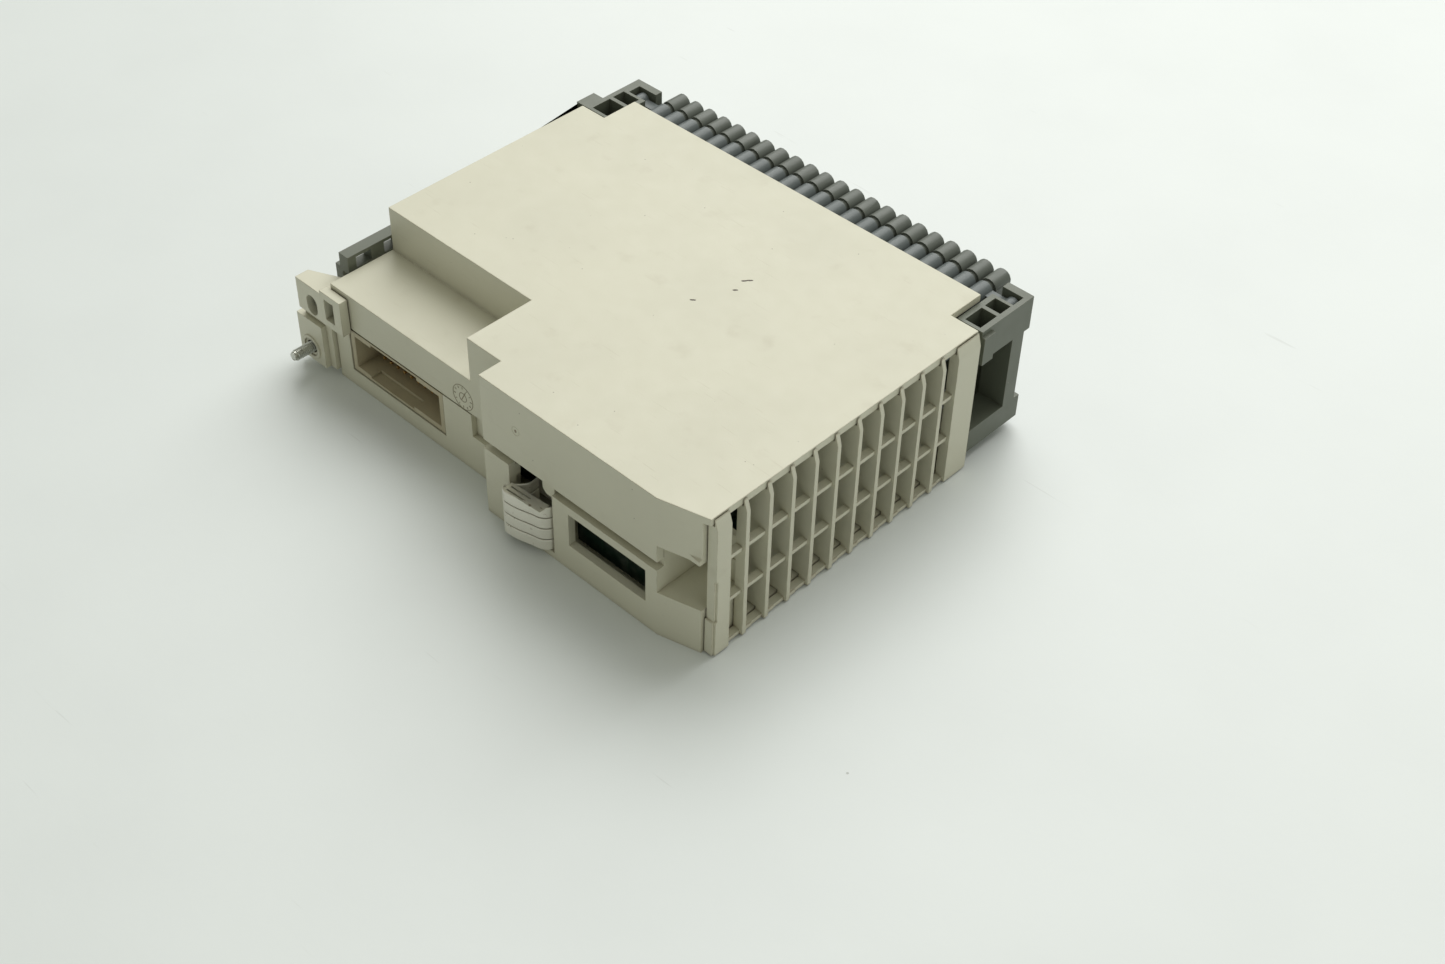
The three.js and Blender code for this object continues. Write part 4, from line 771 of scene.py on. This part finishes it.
@dataclass
class Casing:
    """The two beige shells and the small marks of moulding and use on them.

    Attributes:
        ring_place: x and z of the moulder's dial.
        ring_radius: radius of the dial.
        ring_ticks: number of ticks round the dial.
        ejector_place: x and z of the ejector mark.
        ejector_radius: radius of the ejector mark.
        line: how far the dial's lines are raised.
    """

    ring_place: tuple[float, float] = (-11.64, 21.4)
    ring_radius: float = 3.4
    ring_ticks: int = 12
    ejector_place: tuple[float, float] = (14.15, 31.4)
    ejector_radius: float = 1.15
    line: float = 0.09

    def build(self) -> None:
        """Builds the shells and their marks."""
        refine("base_shell", Edge.FINE, Finish.CASE)
        refine("side_cover", Edge.SOFT, Finish.PANEL)
        self.date_ring()
        self.ejector_mark()

    def date_ring(self) -> None:
        """Builds the moulder's dial: a ring, ticks and a pointer, with no figures, in a dark finish that
        paints the shade along its moulded lines.
        """
        x, z = self.ring_place
        face = CONNECTOR_FACE
        mesh = bmesh.new()
        for radius in (self.ring_radius, self.ring_radius * 0.36):
            add_ring(mesh, mm(x, face, z), radius * MM, self.line * MM)
        for tick in range(self.ring_ticks):
            angle = math.tau * tick / self.ring_ticks
            self.stroke(mesh, x, z, angle, self.ring_radius * 0.72, self.ring_radius * 0.9, 0.12)
        self.stroke(mesh, x, z, math.radians(62), -self.ring_radius * 0.28, self.ring_radius * 0.62, 0.2)
        # The dark brown finish paints the shade along the dial's raised lines.
        add_piece("date_ring", mesh, "case", Finish.CASE_STAIN_AND_SHADE)

    def stroke(
        self, mesh: Mesh, x: float, z: float, angle: float, inner: float, outer: float, width: float,
    ) -> None:
        """Adds a raised radial stroke.

        Args:
            mesh: mesh to add to.
            x: centre of the dial.
            z: centre of the dial.
            angle: direction of the stroke in radians.
            inner: where it starts from the centre.
            outer: where it ends.
            width: its width.
        """
        size = mm(outer - inner, 2 * self.line, width)
        place = (
            Matrix.Translation(mm(x, CONNECTOR_FACE, z)) @ Matrix.Rotation(-angle, 4, "Y")
            @ Matrix.Translation(mm((inner + outer) / 2, 0, 0)) @ Matrix.Diagonal((*size, 1))
        )
        bmesh.ops.create_cube(mesh, size=1, matrix=place)

    def ejector_mark(self) -> None:
        """Builds the witness ring of an ejector pin and the stain at its centre."""
        x, z = self.ejector_place
        ring = bmesh.new()
        add_ring(ring, mm(x, REAR_FACE, z), self.ejector_radius * MM, 0.07 * MM, steps=32)
        add_piece("ejector_ring", ring, "case", Finish.CASE)
        stain = bmesh.new()
        place = Matrix.Translation(mm(x, REAR_FACE, z)) @ Matrix.Diagonal((*mm(0.38, 0.06, 0.45), 1))
        bmesh.ops.create_icosphere(stain, subdivisions=2, radius=1, matrix=place)
        add_piece("ejector_stain", stain, "case", Finish.CASE_STAIN_AND_SHADE)


@dataclass
class VentGrille:
    """The grille of upright fins at the far end, with the dark heat sink behind it."""

    def build(self) -> None:
        """Builds the grille and the heat sink."""
        refine("vent_grille", Edge.FINE, Finish.CASE)
        refine("heat_sink", Edge.CRISP, Finish.SINK)


@dataclass
class BusConnector:
    """The recessed bus socket with its rows of pins.

    Attributes:
        pin_tip: width of the rounding on the pins.
    """

    pin_tip: float = 0.16

    def build(self) -> None:
        """Builds the socket and its pins."""
        refine("bus_connector", Edge.FINE, Finish.CONNECTOR)
        mesh = merged("bus_contacts")
        soften(mesh, self.pin_tip * MM)
        add_piece("bus_contacts_shape", mesh, "case", Finish.PIN, ["bus_contacts"])


@dataclass
class EarthContacts:
    """The four sprung earth strips, with the folded top of the highest one.

    Attributes:
        strips: number of strips.
        thickness: thickness of a strip.
        fold_thickness: thickness of the folded cap.
        fold_width: width of the folded cap.
        fold_cells: cells along and across the cap, from which the slits are cut.
        slit_rows: rows of cells that are slits, counted from the middle.
    """

    strips: int = 4
    thickness: float = 0.5
    fold_thickness: float = 0.28
    fold_width: float = 3.0
    fold_cells: tuple[int, int] = (13, 7)
    slit_rows: tuple[int, int] = (-2, 1)

    def build(self) -> None:
        """Builds the carrier strip, the four loops and the fold."""
        refine("earth_strip", Edge.CRISP, Finish.EARTH)
        for number in range(1, self.strips + 1):
            self.loop(f"earth_finger_{number}")
        self.fold()

    def loop(self, node: str) -> None:
        """Builds one strip as a smooth loop with rounded edges, along the bends of its solid.

        Args:
            node: name of its solid.
        """
        low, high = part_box(node)
        half = self.thickness / 2 * MM
        right, left, front = high.x - half, low.x + half, low.y + half + 0.1 * MM
        bends = (
            (right, 9.1), (right, 4.2), (right - 1.2 * MM, 2.3), (right - 4.2 * MM, 1.3),
            (left + 2.5 * MM, 0.0), (left + 0.8 * MM, 0.2), (left + 0.1 * MM, 1.1), (left + 0.8 * MM, 2.2),
            (left + 3.4 * MM, 5.6), (left + 3.4 * MM, 8.2),
        )
        curve = bpy.data.curves.new(node, "CURVE")
        curve.dimensions = "3D"
        curve.twist_mode = "Z_UP"
        curve.extrude = (high.z - low.z) / 2 - half
        curve.bevel_depth = half
        curve.bevel_resolution = 3
        curve.use_fill_caps = True
        spline = curve.splines.new("BEZIER")
        spline.resolution_u = 8
        spline.bezier_points.add(len(bends) - 1)
        for point, (x, back) in zip(spline.bezier_points, bends):
            point.co = (x, front + back * MM, (low.z + high.z) / 2)
            point.handle_left_type = point.handle_right_type = "AUTO"
        shape = bpy.data.objects.new(node, curve)
        bpy.context.scene.collection.objects.link(shape)
        bpy.context.view_layer.update()
        data = bpy.data.meshes.new_from_object(shape)
        mesh = bmesh.new()
        mesh.from_mesh(data)
        bpy.data.objects.remove(shape)
        bpy.data.meshes.remove(data)
        bpy.data.curves.remove(curve)
        bmesh.ops.remove_doubles(mesh, verts=mesh.verts, dist=MERGE_DISTANCE)
        bmesh.ops.recalc_face_normals(mesh, faces=mesh.faces)
        add_piece(f"{node}_shape", mesh, BODY_OF[node], Finish.EARTH, [node])

    def fold(self) -> None:
        """Builds the folded cap of the highest strip: a thin sheet with two slits, trimmed to the loop."""
        low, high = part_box(f"earth_finger_{self.strips}")
        length = high.x - low.x
        mesh = bmesh.new()
        centre = Vector(((low.x + high.x) / 2, low.y + 1.9 * MM, high.z))
        along_cells, across_cells = self.fold_cells
        width = self.fold_width * MM
        bmesh.ops.create_grid(
            mesh, x_segments=along_cells, y_segments=across_cells, size=0.5,
            matrix=Matrix.Translation(centre) @ Matrix.Diagonal((length * 0.86, width, 1, 1)),
        )
        slits = [
            face for face in mesh.faces
            if 0.16 < (face.calc_center_median().x - low.x) / length < 0.62
            and round((face.calc_center_median().y - centre.y) / width * across_cells) in self.slit_rows
        ]
        bmesh.ops.delete(mesh, geom=slits, context="FACES")
        for vert in mesh.verts:
            along = (vert.co.x - low.x) / length
            vert.co.y += (0.9 * along * along - 0.1) * MM
            vert.co.z += 0.18 * MM * math.sin(math.pi * along)
        bmesh.ops.recalc_face_normals(mesh, faces=mesh.faces)
        bmesh.ops.solidify(mesh, geom=mesh.faces[:], thickness=self.fold_thickness * MM)
        bmesh.ops.recalc_face_normals(mesh, faces=mesh.faces)
        add_piece("earth_fold", mesh, f"earth_finger_{self.strips}", Finish.EARTH)


@dataclass
class TerminalRow:
    """The header, the two pull-off plugs and their twenty-two screws.

    Attributes:
        plugs: number of plugs.
        screws: number of terminal screws.
        barrel_end: width of the rounding on the barrels' front ends.
    """

    plugs: int = 2
    screws: int = 22
    barrel_end: float = 0.42

    def build(self) -> None:
        """Builds the header, plugs and screws."""
        refine("terminal_header", Edge.FINE, Finish.HEADER)
        for number in range(1, self.plugs + 1):
            self.plug(f"terminal_plug_{number}")
        for number in range(1, self.screws + 1):
            refine(f"terminal_screw_{number:02d}", Edge.CRISP, Finish.ZINC)

    def plug(self, node: str) -> None:
        """Builds one plug, with generously rounded barrel ends.

        Args:
            node: name of its solid.
        """
        mesh = merged(node)
        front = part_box(node)[1].y

        def barrel_end(edge: bmesh.types.BMEdge) -> bool:
            """Whether an edge lies on the front ends of the barrels."""
            return all(vert.co.y > front - 0.01 * MM for vert in edge.verts)

        soften(mesh, self.barrel_end * MM, barrel_end, segments=3)
        soften(mesh, Edge.FINE.width)
        add_piece(f"{node}_shape", mesh, BODY_OF[node], Finish.PLUG, [node])


@dataclass
class FrontFrame:
    """The dark frame round the terminals, with its lamps, label flap and hinge pin."""

    def build(self) -> None:
        """Builds the frame and the pieces that it carries."""
        refine("front_frame", Edge.SOFT, Finish.FRAME)
        refine("label_flap", Edge.FINE, Finish.FLAP)
        refine("label_card", Edge.CRISP, Finish.CARD)
        refine("flap_pin", Edge.CRISP, Finish.ZINC)
        refine("led_bar", Edge.FINE, Finish.BLACK)
        refine("light_guide", Edge.FINE, Finish.CLEAR)


@dataclass
class CaptiveFastener:
    """The captive screw of the ear and the washer that holds it.

    Attributes:
        thread_pitch: distance between turns of the thread.
        thread_depth: height of the ridge.
        thread_radius: outer radius of the thread.
        thread_start: distance of the first turn from the tip.
        thread_length: length of the threaded stretch.
        steps_per_turn: faces along one turn.
    """

    thread_pitch: float = 0.5
    thread_depth: float = 0.22
    thread_radius: float = 1.45
    thread_start: float = 0.7
    thread_length: float = 7.5
    steps_per_turn: int = 20

    def build(self) -> None:
        """Builds the screw, its thread and the washer."""
        refine("captive_washer", Edge.CRISP, Finish.ZINC)
        self.screw()

    def screw(self) -> None:
        """Builds the screw: its shank is drawn in so that the ridge keeps the thread's radius."""
        low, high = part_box("captive_screw")
        axis = Vector(((low.x + high.x) / 2, 0, (low.z + high.z) / 2))
        mesh = merged("captive_screw")
        outer = self.thread_radius * MM
        core = (self.thread_radius - self.thread_depth) / self.thread_radius
        for vert in mesh.verts:
            out = Vector((vert.co.x - axis.x, 0, vert.co.z - axis.z))
            threaded = vert.co.y < low.y + (self.thread_start + self.thread_length + 1) * MM
            if threaded and outer * 0.9 < out.length < outer * 1.1:
                vert.co -= out * (1 - core)
        soften(mesh, Edge.CRISP.width)
        self.ridge(mesh, axis, low.y)
        add_piece("captive_screw_shape", mesh, "captive_screw", Finish.ZINC, ["captive_screw"])

    def ridge(self, mesh: Mesh, axis: Vector, tip: float) -> None:
        """Adds the helical ridge of the thread by a spin that also climbs.

        Args:
            mesh: mesh of the screw.
            axis: a point on the screw's axis.
            tip: the tip's place along the axis, in metres.
        """
        root = (self.thread_radius - self.thread_depth - 0.06) * MM
        start = tip + self.thread_start * MM
        half = self.thread_pitch * MM * 0.42
        corners = ((root, start - half), (self.thread_radius * MM, start), (root, start + half))
        profile = [mesh.verts.new(Vector((axis.x + out, along, axis.z))) for out, along in corners]
        face = mesh.faces.new(profile)
        turns = int(self.thread_length / self.thread_pitch)
        steps = turns * self.steps_per_turn
        before = set(mesh.faces) - {face}
        bmesh.ops.spin(
            mesh, geom=[*profile, *face.edges, face], cent=axis, axis=Vector((0, 1, 0)),
            dvec=Vector((0, self.thread_pitch * MM / self.steps_per_turn, 0)),
            angle=math.tau * turns, steps=steps, use_merge=False, use_duplicate=False,
        )
        bmesh.ops.recalc_face_normals(mesh, faces=[made for made in mesh.faces if made not in before])


@dataclass
class Electronics:
    """The boards and what stands on them, as far as the openings show them.

    Attributes:
        blacks: solids of black plastic.
        pillars: number of board pillars.
        capacitors: number of capacitors.
        chip_rows: rows of small chips on the upper board.
        chips_per_row: chips in a row.
        chip_inset: distance of the first chip from the board's edges.
        chip_pitch: distance between chips in a row.
        row_pitch: distance between rows.
        chip_lengths: lengths that a chip may have.
        chip_height: height of a chip.
        end_length: length of a soldered end.
    """

    blacks: Sequence[str] = ("bus_chip", "converter", "board_link")
    pillars: int = 4
    capacitors: int = 2
    chip_rows: int = 3
    chips_per_row: int = 9
    chip_inset: float = 14.0
    chip_pitch: float = 8.6
    row_pitch: float = 13.0
    chip_lengths: tuple[float, ...] = (1.6, 2.0, 3.2)
    chip_height: float = 0.5
    end_length: float = 0.3

    def build(self) -> None:
        """Builds the boards and their parts."""
        for board in ("main_board", "upper_board", "filter_board"):
            refine(board, Edge.CRISP, Finish.BOARD)
        for black in self.blacks:
            refine(black, Edge.FINE, Finish.BLACK)
        for number in range(1, self.pillars + 1):
            refine(f"board_pillar_{number}", Edge.CRISP, Finish.ZINC)
        for number in range(1, self.capacitors + 1):
            refine(f"capacitor_{number}", Edge.BROAD, Finish.SLEEVE)
        refine("fuse", Edge.FINE, Finish.CLEAR)
        self.chip_field()

    def chip_field(self) -> None:
        """Builds rows of small two-ended chips on the upper side of the upper board, with their solder."""
        low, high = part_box("upper_board")
        top = high.z / MM
        bodies = bmesh.new()
        ends = bmesh.new()
        sizes = random.Random(3)
        for row in range(self.chip_rows):
            for place in range(self.chips_per_row):
                x = low.x / MM + self.chip_inset + place * self.chip_pitch
                y = low.y / MM + self.chip_inset + row * self.row_pitch
                length = sizes.choice(self.chip_lengths)
                back = y + length / 2
                add_box(bodies, mm(x, y, top), mm(x + length, back, top + self.chip_height), 0.05 * MM)
                for end in (x - self.end_length, x + length):
                    roof = mm(end + self.end_length, back, top + self.chip_height + 0.02)
                    add_box(ends, mm(end, y, top), roof, 0.06 * MM)
        add_piece("chip_bodies", bodies, "case", Finish.BLACK)
        add_piece("chip_ends", ends, "case", Finish.SOLDER)


# ---- studio ----


@dataclass(frozen=True)
class Lamp:
    """A square soft light that faces the module.

    Attributes:
        name: name of the light.
        place: its centre in metres.
        size: its side in metres.
        power: its power in watts.
        colour: its colour.
    """

    name: str
    place: tuple[float, float, float]
    size: float
    power: float
    colour: Colour

    def build(self) -> None:
        """Adds the light to the scene."""
        data = bpy.data.lights.new(self.name, "AREA")
        data.size = self.size
        data.energy = self.power
        data.color = self.colour
        light = bpy.data.objects.new(self.name, data)
        light.location = self.place
        light.rotation_euler = (-Vector(self.place)).to_track_quat("-Z", "Y").to_euler()
        bpy.context.scene.collection.objects.link(light)


@dataclass
class Studio:
    """Table, soft light and camera.

    Attributes:
        aim: point on the camera's axis, in metres.
        distance: from the camera to that point, in metres.
        azimuth: direction of the camera, in degrees from -Y towards +X.
        elevation: height of the camera above the horizon, in degrees.
        roll: turn about the camera's axis, in degrees.
        lens: focal length in millimetres.
        sensor: width of the sensor in millimetres.
        table_half: half the side of the table, in metres.
        table_top: finish of the table.
        sky: colour of the sky.
        sky_strength: brightness of the sky.
        lamps: the soft lights.
    """

    aim: Vector = field(default_factory=lambda: Vector((0.04865, -0.02609, 0.02)))
    distance: float = 0.44395
    azimuth: float = 42.712
    elevation: float = 43.031
    roll: float = 1.626
    lens: float = 50.382
    sensor: float = 36.0
    table_half: float = 3.0
    table_top: TableTop = TableTop((0.76, 0.8, 0.79), (0.3, 0.3, 0.27))
    sky: Colour = (0.97, 0.98, 0.86)
    sky_strength: float = 0.33
    lamps: Sequence[Lamp] = (
        Lamp("key", (-0.45, 1.1, 1.4), 2.0, 37.0, (1.0, 1.0, 0.985)),
        Lamp("fill", (1.5, 0.3, 1.2), 1.6, 3.5, (1.0, 1.0, 0.96)),
    )

    def build(self) -> None:
        """Builds the table, the lights and the camera."""
        self.table()
        self.world()
        for lamp in self.lamps:
            lamp.build()
        self.camera()

    def table(self) -> None:
        """Builds the table top that the module lies on."""
        mesh = bmesh.new()
        bmesh.ops.create_grid(mesh, x_segments=1, y_segments=1, size=self.table_half)
        data = bpy.data.meshes.new("table")
        mesh.to_mesh(data)
        mesh.free()
        data.materials.append(self.table_top.make("table"))
        table = bpy.data.objects.new("table", data)
        bpy.context.scene.collection.objects.link(table)

    def world(self) -> None:
        """Sets an even pale sky."""
        world = bpy.data.worlds.new("soft_sky")
        world.use_nodes = True
        background = world.node_tree.nodes["Background"]
        background.inputs["Color"].default_value = opaque(self.sky)
        background.inputs["Strength"].default_value = self.sky_strength
        bpy.context.scene.world = world
        bpy.context.scene.view_settings.view_transform = "Standard"

    def camera(self) -> None:
        """Places the camera."""
        turn, rise = math.radians(self.azimuth), math.radians(self.elevation)
        back = Vector((math.sin(turn) * math.cos(rise), -math.cos(turn) * math.cos(rise), math.sin(rise)))
        right = Vector((0, 0, 1)).cross(back).normalized()
        upright = Matrix((right, back.cross(right), back)).transposed().to_4x4()
        data = bpy.data.cameras.new("camera")
        data.lens = self.lens
        data.sensor_width = self.sensor
        data.clip_start = 0.01
        camera = bpy.data.objects.new("camera", data)
        bpy.context.scene.collection.objects.link(camera)
        camera.matrix_world = (
            Matrix.Translation(self.aim + back * self.distance) @ upright
            @ Matrix.Rotation(math.radians(self.roll), 4, "Z")
        )
        bpy.context.scene.camera = camera


def main() -> None:
    """Builds every sub-assembly in order and reports each one."""
    logging.basicConfig(level=logging.INFO, format="%(message)s")
    for part in (
        Studio(), Casing(), VentGrille(), BusConnector(), EarthContacts(), TerminalRow(), FrontFrame(),
        CaptiveFastener(), Electronics(),
    ):
        part.build()
        log.info("built %s", type(part).__name__)


if __name__ == "__main__":
    main()
